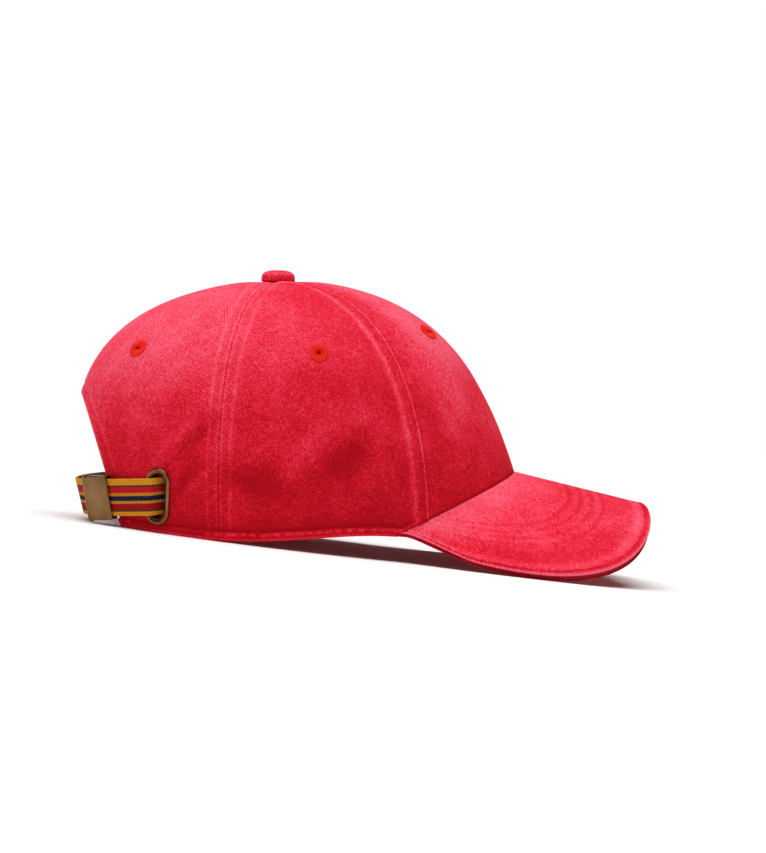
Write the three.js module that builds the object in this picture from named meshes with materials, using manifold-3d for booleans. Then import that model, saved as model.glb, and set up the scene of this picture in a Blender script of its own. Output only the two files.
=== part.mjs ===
// Six-panel baseball cap with a curved visor, a webbing strap, a brass flip clasp and an oval grommet.
// Millimetres, +X towards the visor, +Y towards the wearer's left, +Z up.
// The cap is shaped as worn, with its button axis on the Z axis, and then set down on the rest plane.
import * as THREE from 'three';
import { mergeVertices } from 'three/addons/utils/BufferGeometryUtils.js';
import Module from 'manifold-3d';

const wasm = await Module();
wasm.setup();

const { degToRad, lerp, smoothstep } = THREE.MathUtils;

// Crown: plan oval of the hem, height of the button seat above the side hem, cloth wall
const crownLength = 212;
const crownWidth = 163;
const crownHeight = 118.5;
const buttonSetback = 12;
const clothWall = 1.5;
const gap = 0.3;
const panelPuff = 1.4;
const puffStart = 25;
const panelTip = 3;

// Handles of the profile curve from the button seat down to the hem, and its lean above the hem
const profiles = {
  front: { topHandle: 0.6, hemHandle: 0.67, lean: -17.5 },
  side: { topHandle: 0.56, hemHandle: 0.72, lean: 4 },
  back: { topHandle: 0.54, hemHandle: 0.85, lean: 17 },
};

// Seams, as angles round the hem oval from the centre front
const seamAngles = [0, 57.5, 114.5, 180];

// Hem: flat behind this angle, up to the visor's corner in front
const hemRoll = 2;
const hemRearHeight = 1;
const hemFlatAngle = 125;
const hemRiseEase = 1.3;

// Visor: board and cloth, arch, plan outline
const visorLength = 66;
const visorWidth = 170;
const visorCornerAngle = 66;
const visorCornerOut = 2.5;
const visorRootHeight = 24.3;
const visorSlope = 14;
const visorArchRadius = 79;
const visorArchSpread = 0.26;
const visorTipHandle = 0.94;
const visorSideHandle = 1.16;
const visorSideForward = 0.86;
const visorRoll = 1.7;
const visorStrip = 1.7;
const visorUnder = 1.1;
const visorStripDepth = 4;
const visorStripInset = 0.4;
const visorStripSkip = 2;
const visorUprightReach = 25;
const visorThinStart = 0.78;
const visorThinEnd = 0.45;
const visorLip = 0.02;

// Opening at the back
const archHalfWidth = 42;
const archHeight = 63;
const archRoundness = 2.3;

// Sweatband
const bandHeight = 32;
const bandThickness = 1;
const bandRearRoom = 3.6;
const bandRoomStart = 75;
const bandRoomEnd = 98;
const bandTurn = 0.04;

// Eyelets
const eyeletDistances = [81, 77, 87];
const eyeletRadius = 4.8;
const eyeletHole = 0.9;
const eyeletNeck = 2;
const eyeletProud = 0.8;
const curveRoom = 0.65;

// Button
const buttonRadius = 8.3;
const buttonHeight = 6.2;
const buttonTilt = 1;
const washerRadius = 7;
const washerThickness = 1;

// Strap
const strapWidth = 18.3;
const strapThickness = 1.4;
const strapHeight = 12.6;
const strapRise = 0.03;
const strapSewnLength = 24;
const strapTailLength = 24;

// Grommet, at its distance from the strap side corner of the opening
const grommetLength = 27.5;
const grommetWidth = 13.2;
const grommetRim = 2.6;
const grommetProud = 0.9;
const grommetBarrel = 0.6;
const grommetDistance = 29;
const grommetRoom = 1.25;

// Clasp
const claspLength = 17;
const claspWidth = 21.2;
const claspPlate = 0.8;
const claspStart = -15;
const claspClear = 0.8;
const claspSideGap = 0.5;
const claspTwistRoom = 0.25;
const earLength = 3.2;
const pinRadius = 0.75;
const pinHead = 1.15;
const pinRunning = 0.12;
const knuckleRadius = 1.7;
const leverThickness = 0.9;
const leverLip = 1.2;
const tabWidth = 17;
const tabThickness = 1.1;
const tabSewnLength = 14;

// Mesh steps
const panelColumns = 8;
const panelRows = 17;
const visorColumns = 28;
const visorRows = 5;
const bandColumns = [12, 6, 13];

// Plan point of the hem oval at an angle from the centre front
function hemPlan(angle) {
  return new THREE.Vector2(
    buttonSetback + (crownLength / 2) * Math.cos(angle),
    (crownWidth / 2) * Math.sin(angle),
  );
}

// Height of the visor's upper surface: a sloping centre line less the sag of its arch
const visorCorner = hemPlan(degToRad(visorCornerAngle));
const visorRoot = hemPlan(0);
function visorSurface(x, y) {
  const radius = visorArchRadius + visorArchSpread * (x - visorCorner.x);
  const sag = y ** 2 / (2 * radius) + y ** 4 / (8 * radius ** 3);
  return visorRootHeight - Math.tan(degToRad(visorSlope)) * (x - visorRoot.x) - sag;
}

// Plan point of the visor's outer edge, from its tip at share 0 to its corners at shares -1 and 1
const visorTip = visorRoot.x + visorLength;
const visorEdgeCurve = new THREE.CubicBezierCurve(
  new THREE.Vector2(visorTip, 0),
  new THREE.Vector2(visorTip, visorTipHandle * (visorWidth / 2)),
  new THREE.Vector2(lerp(visorCorner.x, visorTip, visorSideForward), visorSideHandle * (visorWidth / 2)),
  new THREE.Vector2(visorCorner.x, visorCorner.y + visorCornerOut),
);
function visorEdge(share) {
  const point = visorEdgeCurve.getPoint(Math.abs(share));
  return new THREE.Vector2(point.x, Math.sign(share) * point.y);
}

const visorDepth = visorRoll + visorStrip + visorUnder + 2 * gap;

// Share of its full thickness that the visor keeps towards its corners
const cornerShare = (share) => smoothstep(Math.abs(share), visorThinStart, 1);
const visorThickness = (share) => lerp(1, visorThinEnd, cornerShare(share));

// Point of the visor at a share across its width, a share from crown to edge, and a depth below its top.
// The edge that meets the sweatband is upright, and the rest is square to the surface.
function visorPoint(share, reach, depth) {
  const hemAngle = share * degToRad(visorCornerAngle);
  const hem = hemPlan(hemAngle);
  const inward = hem.clone().sub(new THREE.Vector2(buttonSetback, 0)).setLength(clothWall);
  hem.sub(inward);
  const away = reach * hem.distanceTo(visorEdge(share));
  const plan = hem.lerp(visorEdge(share), reach);
  const step = 0.5;
  const slopeX = (visorSurface(plan.x + step, plan.y) - visorSurface(plan.x - step, plan.y)) / (2 * step);
  const slopeY = (visorSurface(plan.x, plan.y + step) - visorSurface(plan.x, plan.y - step)) / (2 * step);
  const normal = new THREE.Vector3(-slopeX, -slopeY, 1).normalize();
  const down = new THREE.Vector3(0, 0, 1).lerp(normal, smoothstep(away, 0, visorUprightReach)).normalize();
  return new THREE.Vector3(plan.x, plan.y, visorSurface(plan.x, plan.y))
    .addScaledVector(down, -depth * visorThickness(share));
}

// Rest plane: through the rear hem and touching the visor's lowest edge from below
const restPivot = new THREE.Vector2(hemPlan(Math.PI).x, hemRearHeight);
let restSlope = -Infinity;
for (let step = 0; step <= visorColumns; step += 1) {
  const low = visorPoint(-1 + (2 * step) / visorColumns, 1, visorDepth);
  restSlope = Math.max(restSlope, (restPivot.y - low.z) / (low.x - restPivot.x));
}
const restHeight = (x) => restPivot.y - restSlope * (x - restPivot.x);

// Height of the lower edge of the crown's cloth
function hemHeight(angle) {
  const corner = degToRad(visorCornerAngle);
  const flat = degToRad(hemFlatAngle);
  const size = Math.abs(angle);
  const plan = hemPlan(angle);
  if (size < corner) {
    return visorSurface(plan.x, plan.y) + gap;
  }
  const resting = restHeight(plan.x) + hemRoll + gap;
  const cornerRise = visorSurface(visorCorner.x, visorCorner.y) + gap
    - (restHeight(visorCorner.x) + hemRoll + gap);
  return resting + cornerRise * (1 - smoothstep(size, corner, flat)) ** hemRiseEase;
}

// Blend of the front, side and back profiles at an angle
function profileAt(angle) {
  const forward = Math.cos(angle);
  const weights = { front: Math.max(forward, 0) ** 2, side: 1 - forward ** 2, back: Math.min(forward, 0) ** 2 };
  const blend = { topHandle: 0, hemHandle: 0, lean: 0 };
  for (const [place, weight] of Object.entries(weights)) {
    for (const key of Object.keys(blend)) {
      blend[key] += weight * profiles[place][key];
    }
  }
  return blend;
}

// Share of the way across its own panel
function panelShare(angle) {
  const degrees = Math.min(THREE.MathUtils.radToDeg(Math.abs(angle)), 180);
  const panel = degrees < seamAngles[1] ? 0 : degrees < seamAngles[2] ? 1 : 2;
  return (degrees - seamAngles[panel]) / (seamAngles[panel + 1] - seamAngles[panel]);
}

// Point of the crown's outer face: t runs down the profile curve from 0 at the button to 1 at the hem
function crownPoint(angle, t, depth = 0) {
  const hem = hemPlan(angle);
  const reach = hem.length();
  const direction = hem.clone().divideScalar(reach);
  const shape = profileAt(angle);
  const low = hemHeight(angle);
  const handle = shape.hemHandle * (crownHeight - low);
  const lean = degToRad(shape.lean);
  const curve = new THREE.CubicBezierCurve(
    new THREE.Vector2(0, crownHeight),
    new THREE.Vector2(shape.topHandle * reach, crownHeight),
    new THREE.Vector2(reach + Math.sin(lean) * handle, low + Math.cos(lean) * handle),
    new THREE.Vector2(reach, low),
  );
  const point = curve.getPoint(t);
  const tangent = curve.getTangent(t);
  const puff = panelPuff * Math.sin(Math.PI * panelShare(angle)) * smoothstep(point.x, 0, puffStart)
    * (1 - smoothstep(t, 0.6, 1));
  const radial = point.x - tangent.y * (puff - depth);
  const height = point.y + tangent.x * (puff - depth);
  return new THREE.Vector3(direction.x * radial, direction.y * radial, height);
}

// Local frame on the crown: x along the hem towards larger angles, y up the panel, z outwards
function crownFrame(angle, t, outwards = 0) {
  const origin = crownPoint(angle, t);
  const along = crownPoint(angle + 0.01, t).sub(crownPoint(angle - 0.01, t)).normalize();
  const up = crownPoint(angle, t - 0.01).sub(crownPoint(angle, t + 0.01)).normalize();
  const normal = along.clone().cross(up).normalize();
  if (normal.dot(new THREE.Vector3(origin.x, origin.y, 0)) < 0) {
    normal.negate();
  }
  const across = normal.clone().cross(along);
  origin.addScaledVector(normal, outwards);
  return new THREE.Matrix4().makeBasis(along, across, normal).setPosition(origin);
}

// Profile parameter at which a condition on the crown point first holds, by halving
function solve(low, high, holds) {
  let from = low;
  let to = high;
  for (let turn = 0; turn < 40; turn += 1) {
    const middle = (from + to) / 2;
    if (holds(middle)) {
      to = middle;
    } else {
      from = middle;
    }
  }
  return to;
}

// Solid between successive closed outlines with equal even point counts, capped unless they form a loop.
// The halves of an outline run side by side, so that a ladder between them fills it.
function loft(outlines, isLoop = false) {
  const count = outlines[0].length;
  const positions = outlines.flat().flatMap((point) => [point.x, point.y, point.z]);
  const indices = [];
  const spans = isLoop ? outlines.length : outlines.length - 1;
  for (let row = 0; row < spans; row += 1) {
    const next = (row + 1) % outlines.length;
    for (let column = 0; column < count; column += 1) {
      const right = (column + 1) % count;
      const a = row * count + column;
      const b = row * count + right;
      const c = next * count + right;
      const d = next * count + column;
      indices.push(a, b, c, a, c, d);
    }
  }
  if (!isLoop) {
    indices.push(...capTriangles(count, 0, true));
    indices.push(...capTriangles(count, (outlines.length - 1) * count, false));
  }
  const geometry = new THREE.BufferGeometry();
  geometry.setAttribute('position', new THREE.Float32BufferAttribute(positions, 3));
  geometry.setIndex(indices);
  return facingOut(geometry);
}

// Triangles that fill one outline, as a ladder between its first half and its second half
function capTriangles(count, start, isFirst) {
  const triangles = [];
  for (let place = 0; place < count / 2 - 1; place += 1) {
    const near = start + place;
    const far = start + count - 1 - place;
    triangles.push([near, near + 1, far - 1], [near, far - 1, far]);
  }
  return triangles.flatMap(([a, b, c]) => (isFirst ? [c, b, a] : [a, b, c]));
}

// Turns a closed surface so that its faces point out
function facingOut(geometry) {
  const position = geometry.getAttribute('position');
  const index = geometry.getIndex().array;
  const corner = (place) => new THREE.Vector3().fromBufferAttribute(position, index[place]);
  let volume = 0;
  for (let face = 0; face < index.length; face += 3) {
    volume += corner(face).dot(corner(face + 1).cross(corner(face + 2)));
  }
  if (volume < 0) {
    for (let face = 0; face < index.length; face += 3) {
      const swapped = index[face];
      index[face] = index[face + 1];
      index[face + 1] = swapped;
    }
  }
  return geometry;
}

// Conversions for joining and cutting
function toSolid(geometry) {
  const bare = geometry.clone();
  bare.deleteAttribute('normal');
  bare.deleteAttribute('uv');
  const merged = mergeVertices(bare, 1e-4);
  return new wasm.Manifold(new wasm.Mesh({
    numProp: 3,
    vertProperties: merged.getAttribute('position').array,
    triVerts: Uint32Array.from(merged.getIndex().array),
  }));
}

function toGeometry(solid) {
  const mesh = solid.getMesh();
  const geometry = new THREE.BufferGeometry();
  geometry.setAttribute('position', new THREE.BufferAttribute(mesh.vertProperties, 3));
  geometry.setIndex(new THREE.BufferAttribute(mesh.triVerts, 1));
  return geometry;
}

const cut = (base, ...tools) => toGeometry(tools.reduce((solid, tool) => solid.subtract(toSolid(tool)), toSolid(base)));
const join = (base, ...others) => toGeometry(others.reduce((solid, other) => solid.add(toSolid(other)), toSolid(base)));

// Stadium outline of a given length along y and width along x
function obround(length, width) {
  const radius = width / 2;
  const straight = length / 2 - radius;
  const shape = new THREE.Shape();
  shape.absarc(0, straight, radius, 0, Math.PI);
  shape.absarc(0, -straight, radius, Math.PI, 2 * Math.PI);
  shape.closePath();
  return shape;
}

// Crown panels
const archTop = solve(0, 1, (t) => crownPoint(Math.PI, t).z < restHeight(restPivot.x) + archHeight);

function archHalfWidthAt(height) {
  const share = THREE.MathUtils.clamp((height - restHeight(restPivot.x)) / archHeight, 0, 1);
  return archHalfWidth * (1 - share ** archRoundness) ** (1 / archRoundness);
}

// Angle at which the opening's edge crosses the profile parameter, or 180 degrees above the opening
function openingAngle(t) {
  if (t <= archTop) {
    return Math.PI;
  }
  return solve(degToRad(seamAngles[2]), Math.PI, (angle) => {
    const point = crownPoint(angle, t);
    return Math.abs(point.y) < archHalfWidthAt(point.z);
  });
}

// Lowest height that the cloth's inner face may reach over the visor or over the roll of the hem
function lowestCloth(point, angle) {
  if (Math.abs(angle) < degToRad(visorCornerAngle)) {
    return visorSurface(point.x, point.y) + gap;
  }
  return hemHeight(angle);
}

function panelTimes(isBack) {
  const times = [];
  const split = isBack ? archTop : 1;
  const upper = isBack ? Math.round(panelRows / 2) : panelRows;
  const tip = panelTip / (3 * profiles.side.topHandle * (crownWidth / 2));
  for (let row = 0; row <= upper; row += 1) {
    times.push(lerp(tip, split, row / upper));
  }
  for (let row = 1; isBack && row <= panelRows - 4; row += 1) {
    times.push(lerp(split, 1, (row / (panelRows - 4)) ** 1.7));
  }
  return times;
}

// One cloth panel between two seams on the side given by sign
function panelGeometry(place, sign) {
  const isBack = place === 2;
  const times = panelTimes(isBack);
  const from = degToRad(seamAngles[place]);
  const outlines = [];
  for (let column = 0; column <= panelColumns; column += 1) {
    const share = column / panelColumns;
    const faces = [0, clothWall].map((depth) => times.map((t) => {
      const to = isBack ? openingAngle(t) : degToRad(seamAngles[place + 1]);
      const angle = lerp(from, to, share);
      const hem = hemPlan(angle);
      const shift = new THREE.Vector2(-hem.y, hem.x).setLength((gap / 2) * (1 - 2 * share));
      const point = crownPoint(angle, t, depth);
      const floor = lowestCloth(point, angle);
      return new THREE.Vector3(point.x + shift.x, sign * (point.y + shift.y), Math.max(point.z, floor));
    }));
    outlines.push([...faces[0], ...faces[1].reverse()]);
  }
  return loft(outlines);
}

// Eyelet places, one in the middle of each panel at one distance from the button
function eyeletFrame(place, sign, outwards) {
  const angle = degToRad((seamAngles[place] + seamAngles[place + 1]) / 2);
  const centre = crownPoint(angle, 0);
  const t = solve(0, 1, (value) => crownPoint(angle, value).distanceTo(centre) > eyeletDistances[place]);
  return crownFrame(sign * angle, t, outwards);
}

function eyeletGeometry(frame) {
  const inside = -clothWall - gap;
  const rim = [
    [eyeletHole, eyeletProud],
    [eyeletHole + 1.4, eyeletProud + gap + curveRoom],
    [eyeletRadius, gap + curveRoom],
    [eyeletNeck - gap, gap],
    [eyeletNeck - gap, inside],
    [eyeletRadius - 1, inside - curveRoom],
    [eyeletHole, inside - eyeletProud / 2],
    [eyeletHole, eyeletProud],
  ];
  const points = rim.map(([radius, height]) => new THREE.Vector2(radius, height));
  const geometry = new THREE.LatheGeometry(points.reverse(), 14).rotateX(Math.PI / 2);
  return facingOut(mergedPositions(geometry)).applyMatrix4(frame);
}

function mergedPositions(geometry) {
  geometry.deleteAttribute('normal');
  geometry.deleteAttribute('uv');
  return mergeVertices(geometry, 1e-4);
}

function holeCutter(frame, radius) {
  return new THREE.CylinderGeometry(radius, radius, 8 * clothWall, 14).rotateX(Math.PI / 2).applyMatrix4(frame);
}

// Button: covered dome above the panel tips, shank between them and a washer below
function buttonGeometry() {
  const seat = gap + 0.35;
  const under = -clothWall - gap - 0.3;
  const shank = panelTip - 2 * gap;
  const profile = [new THREE.Vector2(0, buttonHeight)];
  for (let step = 1; step <= 5; step += 1) {
    const angle = (step / 5) * (Math.PI / 2);
    profile.push(new THREE.Vector2(
      buttonRadius * Math.sin(angle) ** 0.9,
      seat + 1 + (buttonHeight - seat - 1) * Math.cos(angle) ** 0.8,
    ));
  }
  profile.push(
    new THREE.Vector2(buttonRadius * 0.96, seat + 0.4),
    new THREE.Vector2(shank, seat),
    new THREE.Vector2(shank, under),
    new THREE.Vector2(washerRadius, under - 0.2),
    new THREE.Vector2(washerRadius, under - washerThickness),
    new THREE.Vector2(0, under - washerThickness),
  );
  const geometry = new THREE.LatheGeometry(profile.reverse(), 20).rotateX(Math.PI / 2);
  return facingOut(mergedPositions(geometry)).rotateY(degToRad(buttonTilt)).translate(0, 0, crownHeight);
}

// Angle on the hem at a distance along the strap line from the opening's corner, positive towards the front
const cornerAngle = openingAngle(0.97);
function strapTime(angle) {
  const target = restPivot.y + strapHeight + strapRise * (hemPlan(angle).x - restPivot.x);
  return solve(0, 1, (t) => crownPoint(angle, t).z < target);
}
const cornerPoint = crownPoint(cornerAngle, strapTime(cornerAngle));
function angleFromCorner(distance) {
  const towards = distance > 0 ? degToRad(seamAngles[1]) : Math.PI + degToRad(60);
  return solve(cornerAngle, towards, (angle) => {
    const point = crownPoint(angle, strapTime(angle));
    return point.distanceTo(cornerPoint) > Math.abs(distance);
  });
}

// Point on the strap's line at a hem angle, a height across its width and a height above the cloth
function strapPoint(angle, across, outwards) {
  const point = new THREE.Vector3(0, across, outwards);
  return point.applyMatrix4(crownFrame(angle, strapTime(angle)));
}

// A flat strip of cloth or webbing along stations, each with an angle and the height of its under face
function stripGeometry(stations, width, thickness) {
  const outlines = stations.map(({ angle, under }) => [
    strapPoint(angle, -width / 2, under),
    strapPoint(angle, width / 2, under),
    strapPoint(angle, width / 2, under + thickness),
    strapPoint(angle, -width / 2, under + thickness),
  ]);
  return loft(outlines);
}

// The right side of the cap has negative angles
const claspFrom = -angleFromCorner(claspStart);
const claspTo = -angleFromCorner(claspStart + claspLength);
const grommetAngle = -angleFromCorner(grommetDistance);

// Heights above the cloth of what the strap passes over and under
const claspSeat = gap + claspClear;
const strapOnClasp = claspSeat + claspPlate + gap + claspTwistRoom;
const strapOnRim = grommetProud + curveRoom + gap;
const strapInside = -clothWall - gap - strapThickness;
const tailInside = -clothWall - grommetRoom - 2.5 * gap - strapThickness;

function strapStations() {
  const leftCorner = cornerAngle;
  const leftEnd = angleFromCorner(strapSewnLength);
  const slotHalf = grommetWidth / 2 - grommetRim;
  const overRim = -angleFromCorner(grommetDistance - grommetWidth / 2 - 1);
  const intoSlot = -angleFromCorner(grommetDistance - slotHalf + 0.5);
  const outOfSlot = -angleFromCorner(grommetDistance + slotHalf - 0.5);
  const tailEnd = -angleFromCorner(grommetDistance + slotHalf + strapTailLength);
  const knots = [
    { angle: leftEnd, under: strapInside },
    { angle: leftCorner + degToRad(4), under: strapInside },
    { angle: 2 * Math.PI + claspFrom, under: strapOnClasp },
    { angle: 2 * Math.PI + claspTo, under: strapOnClasp },
    { angle: 2 * Math.PI + overRim, under: strapOnRim },
    { angle: 2 * Math.PI + intoSlot, under: strapOnRim },
    { angle: 2 * Math.PI + outOfSlot, under: tailInside },
    { angle: 2 * Math.PI + tailEnd, under: tailInside },
  ];
  const stepsBetween = [3, 8, 1, 2, 1, 2, 5];
  const stations = [];
  stepsBetween.forEach((steps, place) => {
    const from = knots[place];
    const to = knots[place + 1];
    for (let step = 0; step < steps; step += 1) {
      const share = step / steps;
      stations.push({
        angle: lerp(from.angle, to.angle, share),
        under: lerp(from.under, to.under, smoothstep(share, 0, 1)),
      });
    }
  });
  stations.push(knots.at(-1));
  return stations;
}

// Hem angles of the sweatband's columns, closer together at the visor's corners
function bandAngles(end, corner) {
  const stops = [0, corner - 2 * bandTurn, corner + 2 * bandTurn, end];
  const angles = bandColumns.flatMap((columns, place) => Array.from({ length: columns }, (_, column) => (
    lerp(stops[place], stops[place + 1], (column + 1) / columns)
  )));
  return [...angles.map((angle) => -angle).reverse(), 0, ...angles];
}

// Sweatband: a plain band inside the crown with a roll along its lower edge under the panels
function bandGeometry() {
  const corner = degToRad(visorCornerAngle);
  const outlines = [];
  for (const angle of bandAngles(openingAngle(0.995) - gap / (crownWidth / 2), corner)) {
    const size = Math.abs(angle);
    const hem = hemPlan(angle);
    const outward = hem.clone().setLength(1);
    const room = bandRearRoom * smoothstep(size, degToRad(bandRoomStart), degToRad(bandRoomEnd));
    const inset = clothWall + gap + room;
    const low = hemHeight(angle) - gap;
    const drop = hemRoll + (visorDepth - gap) * (1 - cornerShare(size / corner));
    const roll = smoothstep(size, corner + bandTurn / 4, corner + (5 * bandTurn) / 4);
    const rollOut = lerp(inset, 0, roll);
    const rollTop = lerp(drop / 2, 0, roll);
    const rollPoints = (corners) => corners.map(([inwards, z]) => new THREE.Vector3(
      hem.x - outward.x * inwards,
      hem.y - outward.y * inwards,
      z + restSlope * outward.x * inwards,
    ));
    const heights = [bandHeight / 2, bandHeight];
    const wallPoints = (depth) => heights.map((height) => {
      const t = solve(0, 1, (value) => crownPoint(angle, value).z < low + height);
      return crownPoint(angle, t, depth);
    });
    outlines.push([
      ...rollPoints([[rollOut, low - rollTop], [inset, low - rollTop]]),
      ...wallPoints(inset),
      ...wallPoints(inset + bandThickness).reverse(),
      ...rollPoints([[inset + bandThickness, low - drop], [rollOut, low - drop]]),
    ]);
  }
  return loft(outlines);
}

// Visor layers: each is a section swept across the visor
function visorLayer(section, skipped = 0) {
  const outlines = [];
  for (let column = skipped; column <= visorColumns - skipped; column += 1) {
    outlines.push(section(lerp(-1, 1, column / visorColumns)));
  }
  return loft(outlines);
}

// Share of the reach that lies a distance inside the visor's edge
function insideEdge(share, distance) {
  const width = visorPoint(share, 0, 0).distanceTo(visorPoint(share, 1, 0));
  return 1 - Math.min(distance / width, 0.7);
}

const shares = (count) => Array.from({ length: count + 1 }, (_, place) => place / count);

function visorTopSection(share) {
  const step = insideEdge(share, visorStripDepth + gap);
  const full = visorRoll + gap + visorStrip;
  const top = shares(visorRows).map((reach) => visorPoint(share, reach * (step - visorLip), 0));
  top.push(visorPoint(share, step + visorLip, 0), visorPoint(share, 1, 0));
  const below = shares(visorRows).map((reach) => visorPoint(share, reach * step, full));
  below.push(visorPoint(share, step, visorRoll), visorPoint(share, 1, visorRoll));
  return [...top, ...below.reverse()];
}

function visorStripSection(share) {
  const outer = insideEdge(share, visorStripInset);
  const inner = insideEdge(share, visorStripDepth);
  const high = visorRoll + gap;
  const low = high + visorStrip;
  return [
    visorPoint(share, inner, high),
    visorPoint(share, outer, high),
    visorPoint(share, outer, low),
    visorPoint(share, inner, low),
  ];
}

function visorUnderSection(share) {
  const step = insideEdge(share, visorStripDepth + gap);
  const reaches = [...shares(visorRows).map((reach) => reach * step), 1];
  const top = reaches.map((reach) => visorPoint(share, reach, visorDepth - visorUnder));
  const below = reaches.map((reach) => visorPoint(share, reach, visorDepth)).reverse();
  return [...top, ...below];
}

// Grommet: a rolled oval rim outside, a barrel through the cloth and a flat rim inside
function grommetGeometry(frame) {
  const slot = grommetWidth / 2 - grommetRim;
  const inside = -clothWall - gap;
  const profile = [
    [slot, grommetProud * 0.6],
    [slot + grommetRim * 0.45, grommetProud + curveRoom],
    [slot + grommetRim, gap + curveRoom],
    [slot + grommetBarrel, gap],
    [slot + grommetBarrel, inside],
    [slot + grommetRim, inside - grommetRoom],
    [slot, inside - grommetProud * 0.6],
  ];
  const straight = grommetLength / 2 - grommetWidth / 2;
  const outlines = [];
  const arcSteps = 8;
  for (const side of [1, -1]) {
    for (let step = 0; step <= arcSteps; step += 1) {
      const angle = (step / arcSteps) * Math.PI + (side > 0 ? 0 : Math.PI);
      outlines.push(profile.map(([radius, height]) => new THREE.Vector3(
        radius * Math.cos(angle),
        side * straight + radius * Math.sin(angle),
        height,
      ).applyMatrix4(frame)));
    }
  }
  return loft(outlines, true);
}

function grommetCutter(frame) {
  const radius = grommetWidth / 2 - grommetRim + grommetBarrel + gap;
  const length = grommetLength - grommetWidth + 2 * radius;
  const depth = 8 * clothWall;
  const geometry = new THREE.ExtrudeGeometry(obround(length, 2 * radius), {
    depth, bevelEnabled: false, curveSegments: 8,
  });
  return mergedPositions(geometry.translate(0, 0, -depth / 2)).applyMatrix4(frame);
}

// Clasp frame of reference: x along the strap towards the grommet, y up, z outwards
function claspMatrix() {
  const start = strapPoint(claspFrom, 0, 0);
  const end = strapPoint(claspTo, 0, 0);
  const along = end.clone().sub(start).normalize();
  const up = strapPoint(claspFrom, 1, 0).sub(start).add(strapPoint(claspTo, 1, 0).sub(end));
  const normal = along.clone().cross(up).normalize();
  const across = normal.clone().cross(along);
  return new THREE.Matrix4().makeBasis(along, across, normal).setPosition(start);
}

const claspFrame = claspMatrix();
const strapTop = strapOnClasp + strapThickness + claspTwistRoom;
const pinPlace = earLength / 2;
const pinHeight = strapTop + gap + knuckleRadius;
const coverStart = Math.hypot(earLength / 2, pinHead) + gap;
const leverSlope = (2 * knuckleRadius - leverThickness - gap / 2) / (claspLength - pinPlace);

function box(x, y, z, width, depth, height) {
  return mergedPositions(new THREE.BoxGeometry(width, depth, height).translate(
    x + width / 2, y + depth / 2, z + height / 2,
  ));
}

function cylinderAcross(radius, length, x, z, sides = 14) {
  return mergedPositions(new THREE.CylinderGeometry(radius, radius, length, sides).translate(x, 0, z));
}

// Base plate under the strap, a low cheek on each side and two ears that carry the pin
function claspFrameGeometry() {
  const half = claspWidth / 2;
  const wall = half - strapWidth / 2 - claspSideGap;
  const base = box(0, -half, claspSeat, claspLength, claspWidth, claspPlate);
  const sides = [-half, half - wall];
  const cheeks = sides.map((y) => box(0, y, claspSeat, claspLength, wall, strapTop - claspSeat));
  const ears = sides.map((y) => box(0, y, claspSeat, earLength, wall, pinHeight + pinHead - claspSeat));
  const bore = cylinderAcross(pinRadius + pinRunning, claspWidth * 1.5, pinPlace, pinHeight);
  return cut(join(base, ...cheeks, ...ears), bore).applyMatrix4(claspFrame);
}

// Pin with peened heads outside the ears
function claspPinGeometry() {
  const half = claspWidth / 2 + gap / 2;
  const points = [
    [0, -half - 0.7], [pinHead, -half - 0.5], [pinHead, -half], [pinRadius, -half],
    [pinRadius, half], [pinHead, half], [pinHead, half + 0.5], [0, half + 0.7],
  ].map(([radius, height]) => new THREE.Vector2(radius, height));
  const geometry = mergedPositions(new THREE.LatheGeometry(points, 14));
  return facingOut(geometry.translate(pinPlace, 0, pinHeight)).applyMatrix4(claspFrame);
}

// Lever: a knuckle round the pin between the ears, and a cover plate as wide as the base beyond them
function claspLeverGeometry() {
  const low = strapTop + gap - pinHeight;
  const reach = claspLength - pinPlace;
  const knuckle = new THREE.Shape();
  knuckle.moveTo(0, knuckleRadius);
  knuckle.absarc(0, 0, knuckleRadius, Math.PI / 2, 2 * Math.PI, false);
  knuckle.lineTo(coverStart + leverThickness, low + leverThickness);
  knuckle.lineTo(coverStart + leverThickness, knuckleRadius - leverSlope * (coverStart + leverThickness));
  knuckle.closePath();
  const cover = new THREE.Shape();
  cover.moveTo(coverStart, knuckleRadius - leverSlope * coverStart);
  cover.lineTo(coverStart, knuckleRadius - leverSlope * coverStart - leverThickness);
  cover.lineTo(reach, knuckleRadius - leverSlope * reach - leverThickness);
  cover.lineTo(reach + leverLip, knuckleRadius - leverSlope * reach - leverThickness / 2);
  cover.lineTo(reach + leverLip / 2, knuckleRadius - leverSlope * reach);
  cover.closePath();
  const plates = [[knuckle, strapWidth + 2 * (claspSideGap - gap)], [cover, claspWidth]];
  const [narrow, wide] = plates.map(([shape, width]) => mergedPositions(
    new THREE.ExtrudeGeometry(shape, { depth: width, bevelEnabled: false, curveSegments: 7 })
      .rotateX(Math.PI / 2).translate(pinPlace, width / 2, pinHeight),
  ));
  const bore = cylinderAcross(pinRadius + pinRunning, claspWidth * 1.5, pinPlace, pinHeight);
  return cut(join(narrow, wide), bore).applyMatrix4(claspFrame);
}

// Cloth tab from inside the right back panel, past the opening's edge, to the clasp's base plate
function claspTabGeometry() {
  const stops = [
    { distance: tabSewnLength, under: -clothWall - gap - tabThickness },
    { distance: -4, under: -clothWall - gap - tabThickness },
    { distance: -9, under: -tabThickness },
    { distance: claspStart + 1, under: -tabThickness },
  ];
  const stations = stops.map(({ distance, under }) => ({ angle: -angleFromCorner(distance), under }));
  return stripGeometry(stations, tabWidth, tabThickness);
}

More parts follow.
